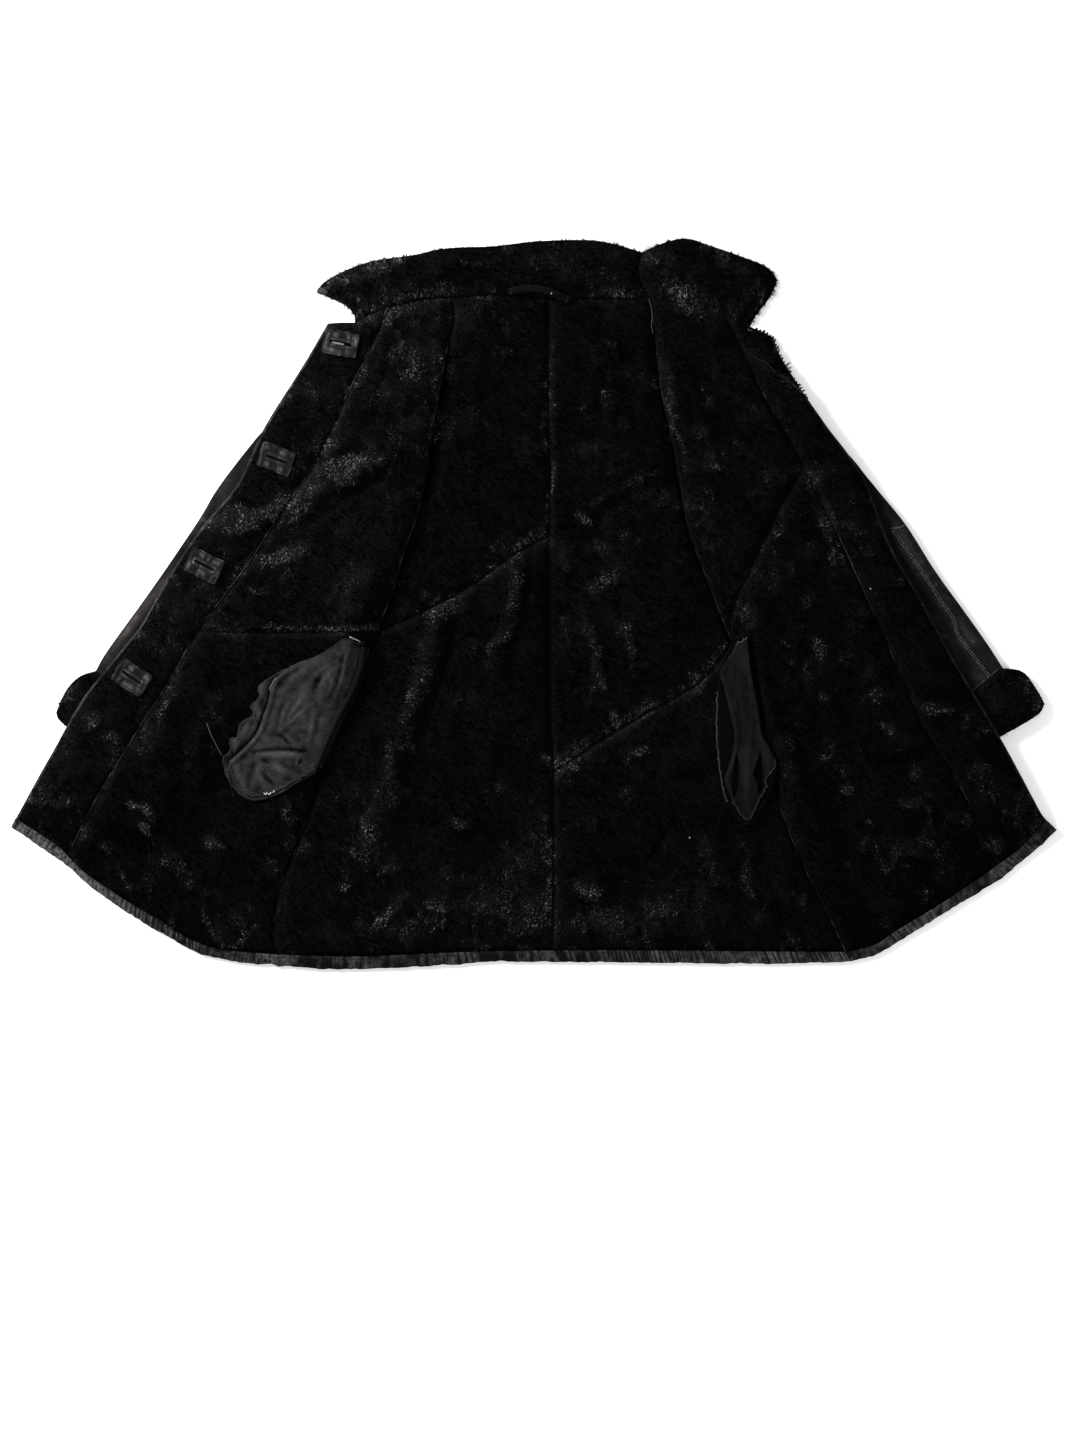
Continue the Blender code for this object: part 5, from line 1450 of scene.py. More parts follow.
def skin(name, head, foot, left, right, free, creases, tone, teased, seed):
    """A panel: closed skin of hide and packed wool, with its blades of wool."""
    wide = max(run_of(head)[-1], run_of(foot)[-1])
    tall = max(run_of(left)[-1], run_of(right)[-1])
    plan = fill(head, foot, left, right, fine_ended(wide, STEP), fine_ended(tall, STEP))
    # Creases and lumps are taken at the plan as it is before the rim is drawn in
    measured = plan
    sides = {"head": head, "foot": foot, "left": left, "right": right}
    low = evened(heights(name, plan, top=False))
    top = evened(heights(name, plan))
    fields = wool_fields(plan, sides, free, tone, -1.0 if teased else 1.7,
                         -0.70 if teased else -0.10)
    seam, edge = fields["seam"], fields["edge"]

    # Draw the rim in by half the seam gap
    centre = plan[1:-1, 1:-1].mean((0, 1))
    rim = np.ones(plan.shape[:2], bool)
    rim[1:-1, 1:-1] = False
    way = centre - plan
    way /= np.linalg.norm(way, axis=2)[..., None]
    plan = plan + way * (rim * SEAM_GAP)[..., None]

    full = HIDE + (top - low - HIDE) * WOOL_SHARE
    wall = SEAM_WALL + (full - SEAM_WALL) * ease(seam / 5.5)
    rolled = ease((edge - (0.0 if teased else 2.4)) / 5.0)
    wall = np.minimum(wall, EDGE_WALL + (full - EDGE_WALL) * rolled)
    lumps = 0.9 * drift(strayed(measured, 40.0, 14.0, 75), 38.0, 34)
    lift = crease_lift(measured, CREASES[creases]) + 0.8 * fields["brushed_sheen"] + lumps
    surface = low + wall + lift * ease(seam / 10.0) * ease(edge / 10.0)
    surface = np.maximum(surface, low + LEAST_WALL)
    kinds = {key: 2 if key in free else 0 for key in sides}
    # Undersides reach past the right and lower seams, and the rim is let down to a neighbour that
    # lies lower, so no light comes up between two panels
    under, let_down = plan.copy(), low.copy()
    for key, (rim, inner) in RIMS.items():
        if key not in free:
            way = plan[rim] - plan[inner]
            way /= np.linalg.norm(way, axis=1)[:, None]
            let_down[rim] = lowered(name, plan[rim], way, low[rim])
            if key in ("right", "foot"):
                under[rim] += SEAM_LAP * way
    hide_edge = LEFT_EDGE_HIDE if name == "front_left_edge" else EDGE_HIDE
    piece = shell(name + "_skin", plan, let_down, surface, [FELT, SUEDE, hide_edge], kinds, under)
    toned(piece, fields["felt"])
    if free and not teased:
        bare_rim(piece, edge)
    points = np.dstack([plan, surface])
    fur = blades(name + "_wool", points, fields, teased, seed, TEASED if teased else WOOL)
    settle(piece, name, [fur])
    return piece, points


def bare_rim(piece, edge):
    """Gives the turned hide along a free edge its own finish on the upper side."""
    middle = (edge[:-1, :-1] + edge[1:, :-1] + edge[1:, 1:] + edge[:-1, 1:]).ravel() / 4
    for k in np.flatnonzero(middle < 2.6):
        piece.data.polygons[int(k)].material_index = 2


skins, surfaces = {}, {}
for number, (name, panel) in enumerate(PANELS.items()):
    skins[name], surfaces[name] = skin(name, *panel, seed=100 + number)


# Cut edges of hide that stand as thin, uneven ridges in the seams: panel, side, lightness
SEAM_EDGES = [
    ("front_right_edge", "right", 0.50), ("side_front_right_upper", "right", 0.40),
    ("side_front_right_lower", "right", 0.15), ("back_left_upper", "right", 0.30),
    ("back_left_lower", "right", 0.15), ("front_left_edge", "left", 0.20),
]


def seam_ridges(number, panel, side, lightness):
    """One broken ridge of hide edge along a side of a panel."""
    step = 2.2
    line = stepped(surfaces[panel][RIMS[side][0]], step, 2)
    at = lane(np.arange(len(line)) * step, 40 * number)
    line[:, :2] += 0.5 * aside(at, 76, 7.0, 9.0)
    line[:, 2] += 1.1 + 0.6 * drift(at, 14.0, 78)
    uneven = np.clip(mixed(at, (0.8, 34.0, 79), (0.5, 7.0, 80), middle=0.25), 0.02, 1)
    dress(tubes("seam_ridge_%02d" % number, [line], [0.2 + 0.9 * uneven], WOOL, 5, 1.3,
                [0.4 * lightness * uneven]))


for number, row in enumerate(SEAM_EDGES):
    seam_ridges(number + 1, *row)


# Sleeves and cuffs

# Wrinkles and welted seams of the sleeves where they show beside the fronts
SLEEVE_CREASES = [
    (8, 1.6, [(-388, 236), (-404, 262), (-436, 304)]),
    (7, -1.5, [(-376, 232), (-396, 266), (-428, 312)]),
    (9, 1.8, [(-430, 316), (-462, 352), (-492, 396)]),
    (7, -1.6, [(-470, 376), (-490, 402), (-508, 426)]),
    (7, 1.6, [(388, 244), (410, 276), (436, 318)]),
    (8, -1.8, [(398, 290), (430, 336), (462, 384), (486, 424)]),
    (8, 1.8, [(432, 318), (470, 366), (504, 412)]),
    (6, -1.4, [(470, 404), (484, 424), (498, 440)]),
]
# Sleeve seams with a row of stitches on each side
SLEEVE_SEAMS = {
    "right": [[(-404, 249), (-391, 260), (-380, 268)]],
    "left": [[(397, 268), (419, 299), (450, 346), (466, 370), (472, 389), (490, 413), (508, 437)],
             [(395, 266), (404, 265), (412, 262)]],
}


def tube_half(name, head, end, outer, inner, materials, wrinkles=0.0, sunk=0.0, kinds=None):
    """The upper or lower wall of a sleeve or cuff, as a skin on its solid. A wall that carries
    blades of wool is sunk to leave them room."""
    wide = max(run_of(head)[-1], run_of(end)[-1])
    tall = max(run_of(outer)[-1], run_of(inner)[-1])
    plan = fill(head, end, outer, inner, fine_ended(wide, SLEEVE_STEP),
                fine_ended(tall, SLEEVE_STEP))
    low = evened(heights(name, plan, top=False), 3)
    top = evened(heights(name, plan), 3) - sunk
    if wrinkles:
        soft = drift(plan * (0.6, 1.0), 22.0, 41) + 0.5 * drift(plan, 11.0, 42)
        rim = np.minimum(nearest(plan, outer)[0], nearest(plan, inner)[0])
        lift = wrinkles * soft * ease(rim / 9.0) + crease_lift(plan, SLEEVE_CREASES)
        top = top + lift
    piece = shell(name + "_skin", plan, low, top, materials, kinds)
    return piece, np.dstack([plan, top]), cut_size(plan, low)


def sleeve_sewing(hand, name):
    """Two rows of stitches along each seam of a sleeve."""
    sewn = []
    for line in SLEEVE_SEAMS[hand]:
        path = stepped(smooth(line), 3, 4)
        lift = heights(name, path[None])[0] + crease_lift(path, SLEEVE_CREASES) + 0.9
        for off in (-1.1, 1.3):
            row = np.column_stack([path + (off * 0.85, -off * 0.6), lift])
            sewn += stitch_lines(row, 3.0, 0.72, 0.3)
    return tubes(name + "_topstitching", sewn, 0.27, LIGHT_THREAD, 5)


def cuff_edge(name, line, way):
    """The turned hide edge of a sleeve where it meets the cuff."""
    count = 26
    path = sampled(line, np.linspace(0.03, 0.97, count)) + way
    at = lane(np.arange(count) * 3.0, way[0])
    lift = heights(name, path[None])[0] + 0.9 + 0.3 * drift(at, 12.0, 66)
    size = 0.45 + 0.35 * np.clip(0.5 + drift(at, 9.0, 67), 0, 1)
    return tubes(name + "_cuff_edge", [np.column_stack([path, lift])], [size], EDGE_HIDE, 6)


for hand, table, seam, front_edge, sign, hide in (
        ("right", SLEEVE_RIGHT, side_right["upper"], EDGE_RIGHT, -1, LIT_RIGHT_SUEDE),
        ("left", SLEEVE_LEFT, side_left["upper"], EDGE_LEFT, 1, SHADED_LEFT_SUEDE)):
    head = stretch(seam, *ARMHOLE[hand]) + (sign * 0.4, 0.0)
    outer = smooth([tuple(head[0])] + table["outer"][1:])
    inner = smooth([tuple(head[-1])] + table["inner"][1:])
    end = smooth([outer[-1], (outer[-1] + inner[-1]) / 2, inner[-1]])
    cuff_outer = smooth([tuple(outer[-1])] + table["cuff outer"][1:])
    cuff_inner = smooth([tuple(inner[-1])] + table["cuff inner"][1:])
    cuff_end = smooth(table["cuff end"])
    front = smooth(joined(*front_edge.values()))
    for ply in ("under", "over"):
        over = ply == "over"
        name = "sleeve_" + hand + "_" + ply
        piece, points, cut = tube_half(name, head, end, outer, inner,
                                       [hide, FELT] if over else [FELT, hide],
                                       WRINKLE if over else 0.0,
                                       kinds={key: 0 if over else 1 for key in RIMS})
        # Painted shade: darker close to the front's edge, under the front that lies over it; the
        # right one also paler towards its cuff; and from the relief, worn crests and shaded hollows
        off_front = nearest(points[..., :2], front)[0]
        tone = crest_wear_and_hollow_shade(points[..., 2], 6, 0.6, 0.45)
        tone *= 0.40 + 0.80 * ease((off_front - 2.0) / 15.0)
        if hand == "right":
            tone *= 0.60 + 0.6 * ease((points[..., 1] - 200.0) / 110.0)
        toned(piece, np.clip(tone, 0.05, 1))
        riders = []
        if over:
            riders = [sleeve_sewing(hand, name), cuff_edge(name, end, (sign * -1.4, -2.2))]
        settle(piece, name, riders)

        name = "cuff_" + hand + "_" + ply
        piece, points, cut = tube_half(name, end, cuff_end, cuff_outer, cuff_inner,
                                       [FELT, FELT], sunk=CUFF_WOOL if over else 0.0)
        riders = []
        if over:
            sides = {"head": end, "foot": cuff_end, "left": cuff_outer, "right": cuff_inner}
            fields = wool_fields(points[..., :2], sides, ("foot", "left", "right"), 0.12, -1.0,
                                 -0.35)
            toned(piece, fields["felt"])
            riders = [blades(name + "_wool", points, fields, 0.2, 150 + (hand == "left"), WOOL)]
        settle(piece, name, riders)


# Hem binding, gathered where it turns over the edge

HEM_LINES = {
    "right_front": joined(hem["edge right"], hem["side right"]),
    "back": joined(hem["back right"], hem["back left"]),
    "left_front": joined(hem["side left"], hem["edge left"]),
}
# How full the gathers stand over each column, from the seam to the edge
PROFILE = np.array([0.55, 1.0, 1.15, 1.1, 1.0, 0.85, 0.65, 0.4, 0.2, 0.05])[:, None]
columns = np.arange(HEM_COLUMNS)
for number, (part, line) in enumerate(HEM_LINES.items()):
    # The right front's length has stronger and wider gathers than the others, and a paler end
    first = number == 0
    name = "hem_binding_" + part
    outer = smooth(HEM_FOLD[part])
    rows = np.arange(int(run_of(line)[-1] / HEM_STEP) + 1)
    at = rows * HEM_STEP
    places = lane(at, 7 + 40 * number)
    across = np.linspace(0, 1, HEM_COLUMNS)
    plan = fill(line, outer, smooth([line[0], outer[0]]), smooth([line[-1], outer[-1]]),
                np.linspace(0, 1, len(rows)), across)
    # Heights are measured at each fourth row of the straight grid, and its edge then wanders
    level = []
    for is_top in (False, True):
        measured = evened(heights(name, plan[:, ::HEM_EACH], is_top), 8)
        level.append(np.stack([np.interp(rows, rows[::HEM_EACH], row) for row in measured]))
    low, top = level
    wander = mixed(lane(at, 9 + 30 * number), (1.0, 16.0, 57), (0.75, 5.0, 58))
    way = (plan[-1] - plan[0]) / np.linalg.norm(plan[-1] - plan[0], axis=1)[:, None]
    wander = (1.3 if first else 0.8) * wander
    plan = plan + way * wander[:, None] * (across ** 2)[:, None, None]

    phase = mixed(places, (2.4, 27.0, 51), (0.7, 9.0, 52), middle=at / GATHER)
    strong = 0.10 + 0.90 * ease(0.45 + 0.95 * drift(places, 36.0, 53))
    if first:
        strong = np.maximum(strong, 0.65)
    slant = columns[:, None] * (0.03 + 0.10 * drift(places, 31.0, 56))[None]
    ribs = np.abs(np.sin(math.pi * (phase[None] + slant))) ** 0.5 - 0.65
    pitch = 5.4 if first else 4.4
    fine = np.abs(np.sin(math.pi * (at / pitch + 0.9 * drift(places, 12.0, 59)))) - 0.6
    fine = fine * ease(0.25 + 1.2 * drift(places, 60.0, 65) + 0.7 * (at < 130.0)
                       + 0.5 * first)
    top = top + ribs * PROFILE * strong[None] * GATHER_HEIGHT
    top = top + fine[None] * PROFILE
    top[0] -= 1.2
    top[-1] -= 0.5
    piece = shell(name + "_cover", plan, low, np.maximum(top, low + 0.9), [BINDING, BINDING])

    crumpled = drift(plan * (1.0, 0.7), 5.0, 55)
    # Tone: paler on the crests of the gathers and darker between them, worn crests and painted
    # shade in the troughs; darker in the two sunk rows at the seam, painted shade; random clouding
    # and crumpling; and the right front's paler end
    pale_share = 0.14 + ribs * strong[None] + 0.34 * drift(places, 34.0, 54)[None]
    pale_share += 0.85 * fine[None]
    pale_share *= np.minimum(1.0, 0.45 + 0.3 * columns)[:, None]
    pale_share += 0.28 * crumpled + first * (0.40 * (1 - ease((at - 110.0) / 90.0)))[None]
    toned(piece, np.clip(pale_share, 0, 1))
    seam_path = np.dstack([plan, top])[2] + (0, 0, 0.15)
    sewing = tubes(name + "_stitches", stitch_lines(seam_path, 4.2, 0.66, 0.5), 0.32,
                   BLACK_THREAD)
    settle(piece, name, [sewing])


# Buttonhole patches: a turned-in leather rectangle with a bound slit, sewn round twice

def ring_points(half_long, half_wide, corner, count=64):
    """Points round a rectangle with rounded corners, evenly spread by angle."""
    points = []
    for turn in np.arange(count) * math.tau / count:
        c, s = math.cos(turn), math.sin(turn)
        power = 2.0 / max(0.12, corner)
        size = (abs(c) ** power + abs(s) ** power) ** (-1 / power)
        points.append((c * size * half_long, s * size * half_wide))
    return np.array(points)


# Rings of a patch from the folded rim in to the slit: inset share, height over the solid's top
# and how pale it is: worn paler on the rim and ridges, darker in the sewn grooves and into the
# slit, as painted shade
PATCH_RINGS = [
    (0.0, -1.5, 0.9), (0.0, -0.35, 0.8), (0.035, 0.15, 0.5), (0.10, 0.22, 0.3),
    (0.15, -0.05, 0.05), (0.19, -0.12, 0.1), (0.24, 0.12, 0.4), (0.40, 0.25, 0.5),
    (0.55, 0.18, 0.4), (0.66, -0.05, 0.05), (0.71, -0.10, 0.1), (0.76, 0.15, 0.4),
    (0.86, 0.75, 0.8), (0.94, 0.80, 0.1), (1.0, 0.30, 0), (1.0, -1.3, 0),
]
inset, above, worn = np.array(PATCH_RINGS).T
# Rings that are sewn along, and the length of a stitch in each
SEWN_RINGS = ((5, 3.0), (10, 2.6))
for name, (x, d, degrees) in PATCHES.items():
    is_open = name.endswith("1")
    open_by = 1.5 if is_open else 0.8
    rim = ring_points(PATCH_LENGTH / 2, PATCH_WIDTH / 2, 0.12)
    uneven = np.clip(0.5 + drift(rim + (x, d), 15.0, 64), 0, 1.2)[:, None]
    rim = rim * (1.0 - 0.06 * uneven)
    slit = ring_points(SLIT_LENGTH / 2, open_by, 0.5)
    plan = np.array([rim * (1 - share) + slit * share for share in inset])
    place = turned(plan, degrees) + (x, d)
    level = evened(heights(name, place[1:-1]), 2)
    level = np.vstack([level[:1], level, level[-1:]])
    wave = 0.18 * drift(place, 6.0, 61)
    z = level + above[:, None] + wave
    points = np.dstack([place, z]).reshape(-1, 3)
    count = len(rim)
    last = (len(inset) - 1) * count
    faces = ring_faces(len(inset), count)
    faces += [(k, last + k, last + (k + 1) % count, (k + 1) % count) for k in range(count)]
    piece = mesh_of(name + "_leather", points, faces, [PATCH])
    blotch = 0.35 + 1.3 * drift(plan * (1.0, 0.35) + (x, d), 3.4, 62)
    blotch = blotch + 0.5 * drift(place, 9.0, 63)
    # Tone: the rings' paleness, painted shade in grooves and slit, times random blotches
    mark(piece.data, "tone", np.clip(worn[:, None] * blotch, 0, 1))
    if is_open:
        hole = turned(ring_points(7.5, 1.3, 0.6, 24) - (3.5, 0.0), degrees) + (x, d)
        cut_away(skins["front_right_edge"], [prism(hole, *CUT_THROUGH)])
    sewn = []
    for share, pitch in SEWN_RINGS:
        row = np.dstack([place, z])[share] + (0, 0, 0.25)
        sewn += stitch_lines(np.vstack([row, row[:1]]), pitch, 0.7, 0.4)
    # Overcast stitches from the slit out over its binding
    for along in np.linspace(-SLIT_LENGTH / 2 + 1.5, SLIT_LENGTH / 2 - 1.5, 15):
        for side in (-1, 1):
            across = (np.array([0.4, 1.6, 3.0, 4.4]) + open_by) * side
            spot = np.stack([np.full(4, along), across], axis=1)
            spot = turned(spot, degrees) + (x, d)
            base = heights(name, spot[None])[0]
            sewn.append(np.column_stack([spot, base + (0.75, 1.0, 0.75, 0.15)]))
    sewing = tubes(name + "_stitches", sewn, 0.30, GREY_THREAD, 5)
    # Its corners are rounded, which takes off a fiftieth
    settle(piece, name, [sewing])


# Pocket bags turned out over the wool

BAG_FOLDS = {
    "pocket_bag_right_over": [
        (5, 2.0, [(-308, 500), (-296, 490), (-282, 478), (-271, 467)]),
        (5, 1.8, [(-308, 498), (-299, 483), (-289, 469), (-280, 457)]),
        (4, 1.6, [(-309, 495), (-305, 481), (-299, 469)]),
        (5, 1.5, [(-317, 496), (-316, 486), (-313, 478)]),
        (3.5, -1.6, [(-304, 500), (-292, 489), (-276, 474)]),
        (3.5, -1.4, [(-306, 494), (-297, 478), (-287, 462)]),
        (3.5, -1.2, [(-310, 492), (-308, 480), (-306, 470)]),
        (6, 1.6, [(-324, 509), (-315, 508), (-305, 512)]),
        (3.5, -2.0, [(-308, 503), (-301, 510), (-295, 516)]),
        (6, 1.6, [(-302, 505), (-294, 512), (-286, 517)]),
        (3.5, -2.6, [(-340, 523), (-322, 521), (-299, 520), (-279, 523)]),
        (5, 1.8, [(-333, 527), (-316, 526), (-294, 527), (-282, 529)]),
        (4, -1.8, [(-338, 526), (-328, 532), (-316, 538)]),
        (7, -2.6, [(-338, 538), (-343, 550), (-345, 562)]),
        (8, 2.0, [(-360, 533), (-358, 547), (-351, 562)]),
        (7, 2.0, [(-333, 543), (-331, 554), (-324, 564)]),
        (3.5, -1.8, [(-331, 545), (-321, 556), (-311, 563)]),
        (6, 1.8, [(-325, 536), (-308, 543), (-291, 552)]),
        (4, 2.2, [(-280, 525), (-287, 530), (-288, 537), (-282, 542), (-278, 545)]),
        (3, -2.4, [(-283, 534), (-286, 538), (-284, 543)]),
        (9, 1.8, [(-244, 408), (-268, 420), (-291, 440), (-308, 462)]),
        (6, -1.6, [(-238, 418), (-258, 434), (-268, 448), (-271, 462)]),
        (8, 1.8, [(-252, 428), (-257, 444), (-265, 464)]),
        (5, -1.5, [(-235, 414), (-240, 436), (-251, 466)]),
        (5, 1.5, [(-230, 410), (-233, 430), (-243, 456)]),
        (5, 1.3, [(-268, 478), (-272, 496), (-276, 512)]),
        (5, -1.3, [(-262, 482), (-266, 500), (-270, 514)]),
    ],
    "pocket_bag_left_over": [
        (5, 0.8, [(205, 430), (208, 450), (214, 472), (218, 498)]),
        (4, -0.7, [(212, 420), (216, 450), (221, 480), (224, 506)]),
        (5, 0.8, [(230, 423), (233, 462), (234, 498), (230, 529), (228, 566), (230, 590)]),
        (2.0, -1.8, [(226, 438), (228, 444), (229, 451)]),
        (4, 1.0, [(210, 526), (207, 541), (207, 556)]),
        (3, 1.2, [(243, 526), (238, 537), (236, 545)]),
        (5, 0.9, [(252, 524), (254, 536), (255, 546)]),
    ],
    "pocket_bag_right_under": [
        (5, 2.6, [(-330, 446), (-335, 458), (-336, 471), (-333, 478)]),
        (4, -2.0, [(-322, 452), (-328, 464), (-330, 474)]),
        (5, 2.2, [(-340, 486), (-346, 496), (-352, 506)]),
        (4, -1.8, [(-334, 482), (-342, 492), (-346, 502)]),
        (5, 1.8, [(-352, 508), (-362, 522), (-368, 540)]),
    ],
    "pocket_bag_left_under": [
        (5, 1.6, [(199, 440), (197, 490), (199, 530)]),
        (6, 2.4, [(252, 520), (256, 536), (257, 550)]),
    ],
}
# Thickness of pocket cloth, and of tape
CLOTH = 0.7
TAPE = 0.9
# Where the left bag gapes between its folds and shows the dark lower ply
BAG_GAPS = [
    [(217, 524), (220, 540), (220, 556), (217, 570), (213, 577), (212, 566), (213, 548),
     (215, 534)],
    [(244, 521), (242, 531), (238, 541), (236, 549), (241, 558), (242, 572), (246, 567),
     (249, 559), (247, 548), (246, 533)],
]
# Sides of each bag with a frayed edge: side, start and stop along it, thread and its radius
BAG_EDGES = {
    "pocket_bag_right_over": [
        ("foot", 0.0, 1.0, GREY_THREAD, 0.4), ("foot", 0.50, 0.60, PALE_THREAD, 0.42),
        ("left", 0.44, 0.52, LIGHT_THREAD, 0.35)],
    "pocket_bag_right_under": [
        ("left", 0.3, 1.0, GREY_THREAD, 0.35), ("foot", 0.0, 0.5, GREY_THREAD, 0.35)],
    "pocket_bag_left_over": [
        ("head", 0.0, 1.0, LIGHT_THREAD, 0.25), ("left", 0.0, 0.1, GREY_THREAD, 0.3),
        ("foot", 0.0, 1.0, GREY_THREAD, 0.3), ("right", 0.74, 1.0, GREY_THREAD, 0.3)],
    "pocket_bag_left_under": [("left", 0.32, 0.92, LIGHT_THREAD, 0.15)],
}


def frayed(points, side, start, stop, seed):
    """Threads along a pinked side of a cloth: one that follows its small teeth and short ends
    that stick out of it."""
    path = stepped(stretch(points[RIMS[side][0]], start, stop), 1.6, 6)
    at = lane(run_of(path), seed)
    way = headings(path[:, :2])
    teeth = 0.6 * (np.arange(len(path)) % 2 * 2 - 1)[:, None]
    path[:, :2] += teeth * np.stack([way[:, 1], -way[:, 0]], axis=1)
    path[:, :2] += 1.1 * aside(at, seed, 4.5, 3.8)
    path[:, 2] += 0.2
    rng = np.random.default_rng(seed)
    ends = []
    for spot in path[1::2]:
        turn = rng.random() * math.tau
        way = np.array([math.cos(turn), math.sin(turn), 0.4]) * (0.8 + 1.2 * rng.random())
        ends.append(np.array([spot - way * 0.5, spot + (0, 0, 0.3), spot + way]))
    return [path] + ends


for name, table in POCKETS.items():
    over = name.endswith("over")
    cloth = RIGHT_CLOTH if "right" in name else LEFT_CLOTH
    lines = smoothed(table)
    step = 2.0 if over else 3.2
    wide, tall = (int(run_of(lines[key])[-1] / step) for key in ("foot", "left"))
    plan = fill(lines["head"], lines["foot"], lines["left"], lines["right"],
                np.linspace(0, 1, max(12, wide)), np.linspace(0, 1, tall))
    rim = np.min([nearest(plan, line)[0] for line in lines.values()], axis=0)
    folds = crease_lift(plan, BAG_FOLDS[name])
    crumple = 0.6 * drift(strayed(plan, 14.0, 5.0, 84), 10.0, 81) + 0.3 * drift(plan, 5.0, 82)
    frill = (0.8 if over else 1.8) * drift(plan, 8.0, 83) * (1 - ease(rim / 7.0))
    top = evened(heights(name, plan), 4)
    top = top + (folds + crumple) * ease(rim / 6.0) + np.maximum(frill, -0.3)
    # Below the pocket mouth the upper ply's left edge is rolled, and the lower ply sunk there
    to_edge = nearest(plan, smooth(POCKETS[name.replace("under", "over")]["left"]))[0]
    roll = 1.6 * bell((to_edge - 3.0) / 4.0) if over else -1.8 * (1 - ease(to_edge / 4.0))
    top = top + roll * ease((plan[..., 1] - 415.0) / 20.0)
    piece = shell(name + "_cloth", plan, top - CLOTH, top, [cloth, cloth])
    # Tone from the relief: paler on worn crests, darker in hollows as painted shade, and clouded at
    # random
    tone = crest_wear_and_hollow_shade(top, 14, 0.48, 0.42) + 0.22 * drift(plan, 22.0, 85)
    if "left" in name:
        tone = 0.10 + 0.66 * tone
    if not over:
        # The lower ply is in the shade of the upper one along its edge, the left one wholly
        tone *= ease(to_edge / 8.0) * ("right" in name)
    toned(piece, np.clip(tone, 0, 1))
    if name == "pocket_bag_left_over":
        cut_away(piece, [prism(gap, *CUT_THROUGH) for gap in BAG_GAPS])
    sewing = []
    for number, (side, first, last, thread, radius) in enumerate(BAG_EDGES[name]):
        lines = frayed(np.dstack([plan, top]), side, first, last, 300 + 7 * number)
        sewing.append(tubes("%s_frayed_%d" % (name, number + 1), lines, radius, thread, 4))
    settle(piece, name, sewing)


def strip_grid(line, width, columns, step):
    """Grid of plan points over a strip of even width."""
    middle = stepped(smooth(line), step, 6)
    way = headings(middle)
    out = np.stack([way[:, 1], -way[:, 0]], axis=1)
    offsets = np.linspace(-0.5, 0.5, columns) * width
    return middle[:, None] + out[:, None] * offsets[None, :, None]


# Facing tape down the right pocket mouth, with two rows of stitches and a bar tack at its head
FACING_PROFILE = np.array([-0.7, 0.2, 0.0, 0.25, 0.3, 0.25, 0.0, 0.2, -0.7])
plan = strip_grid(FACING_LINE, FACING_WIDTH, len(FACING_PROFILE), 2.4)
top = evened(heights("pocket_facing_right", plan), 3) + FACING_PROFILE[None]
top = top + 0.25 * drift(plan, 7.0, 91)
piece = shell("pocket_facing_right_tape", plan, top - TAPE, top, [FACING_CLOTH, FACING_CLOTH])
# Tone from the relief: paler on the worn raised middle, darker on the sunk edges as painted shade
toned(piece, crest_wear_and_hollow_shade(top, 6, 0.8))
points = np.dstack([plan, top]) + (0, 0, 0.25)
sewn = [line for column in (2, 6) for line in stitch_lines(points[:, column], 3.2, 0.68, 0.4)]
sewing = tubes("pocket_facing_right_stitches", sewn, 0.3, GREY_THREAD, 5)
bar = []
for along in np.linspace(0, 1, 17):
    spot = np.array(BAR_TACK[0]) * (1 - along) + np.array(BAR_TACK[1]) * along
    spot = np.append(spot, level_at(*spot) + 1.5)
    bar.append(spot + np.array([(-0.4, 0.8, -0.3), (0, 0, 0.4), (0.4, -0.8, -0.3)]))
tack = tubes("pocket_bar_tack", bar, 0.42, PALE_THREAD, 5)
settle(piece, "pocket_facing_right", [sewing, tack])

# Hanger loop of ribbed tape over the collar seam
LOOP_PROFILE = np.array([-0.35, 0.1, 0.05, 0.1, 0.12, 0.1, 0.05, 0.1, -0.35])
LOOP_RISE = 1.2
plan = strip_grid(LOOP_LINE, LOOP_WIDTH, len(LOOP_PROFILE), 1.6)
level = evened(heights("hanger_loop", plan), 2)
top = level + LOOP_PROFILE[None] + LOOP_RISE
piece = shell("hanger_loop_tape", plan, level - TAPE - 0.2, top, [LOOP_TAPE, LOOP_TAPE])
mark(piece.data, "tone", np.full(len(piece.data.vertices), 0.5))
points = np.dstack([plan, top]) + (0, 0, 0.2)
sewn = [line for row in (2, -3) for line in stitch_lines(points[row], 1.6, 0.7, 0.3)]
sewing = tubes("hanger_loop_stitches", sewn, 0.26, GREY_THREAD, 5)
settle(piece, "hanger_loop", [sewing])


# Buttons sewn to the hide side of the left front

# Rings of a button from the middle of its face out over the rim to its back: share of the
# radius and share of the thickness
BUTTON_RINGS = [
    (0.0, 0.34), (0.2, 0.34), (0.42, 0.34), (0.60, 0.28), (0.70, 0.08), (0.80, 0.0),
    (0.90, 0.02), (0.975, 0.16), (1.0, 0.42), (0.985, 0.72), (0.92, 0.95), (0.8, 1.0),
    (0.4, 1.0), (0.0, 1.0),
]
HOLE_RADIUS = 1.0
HOLE_OFFSET = 1.9


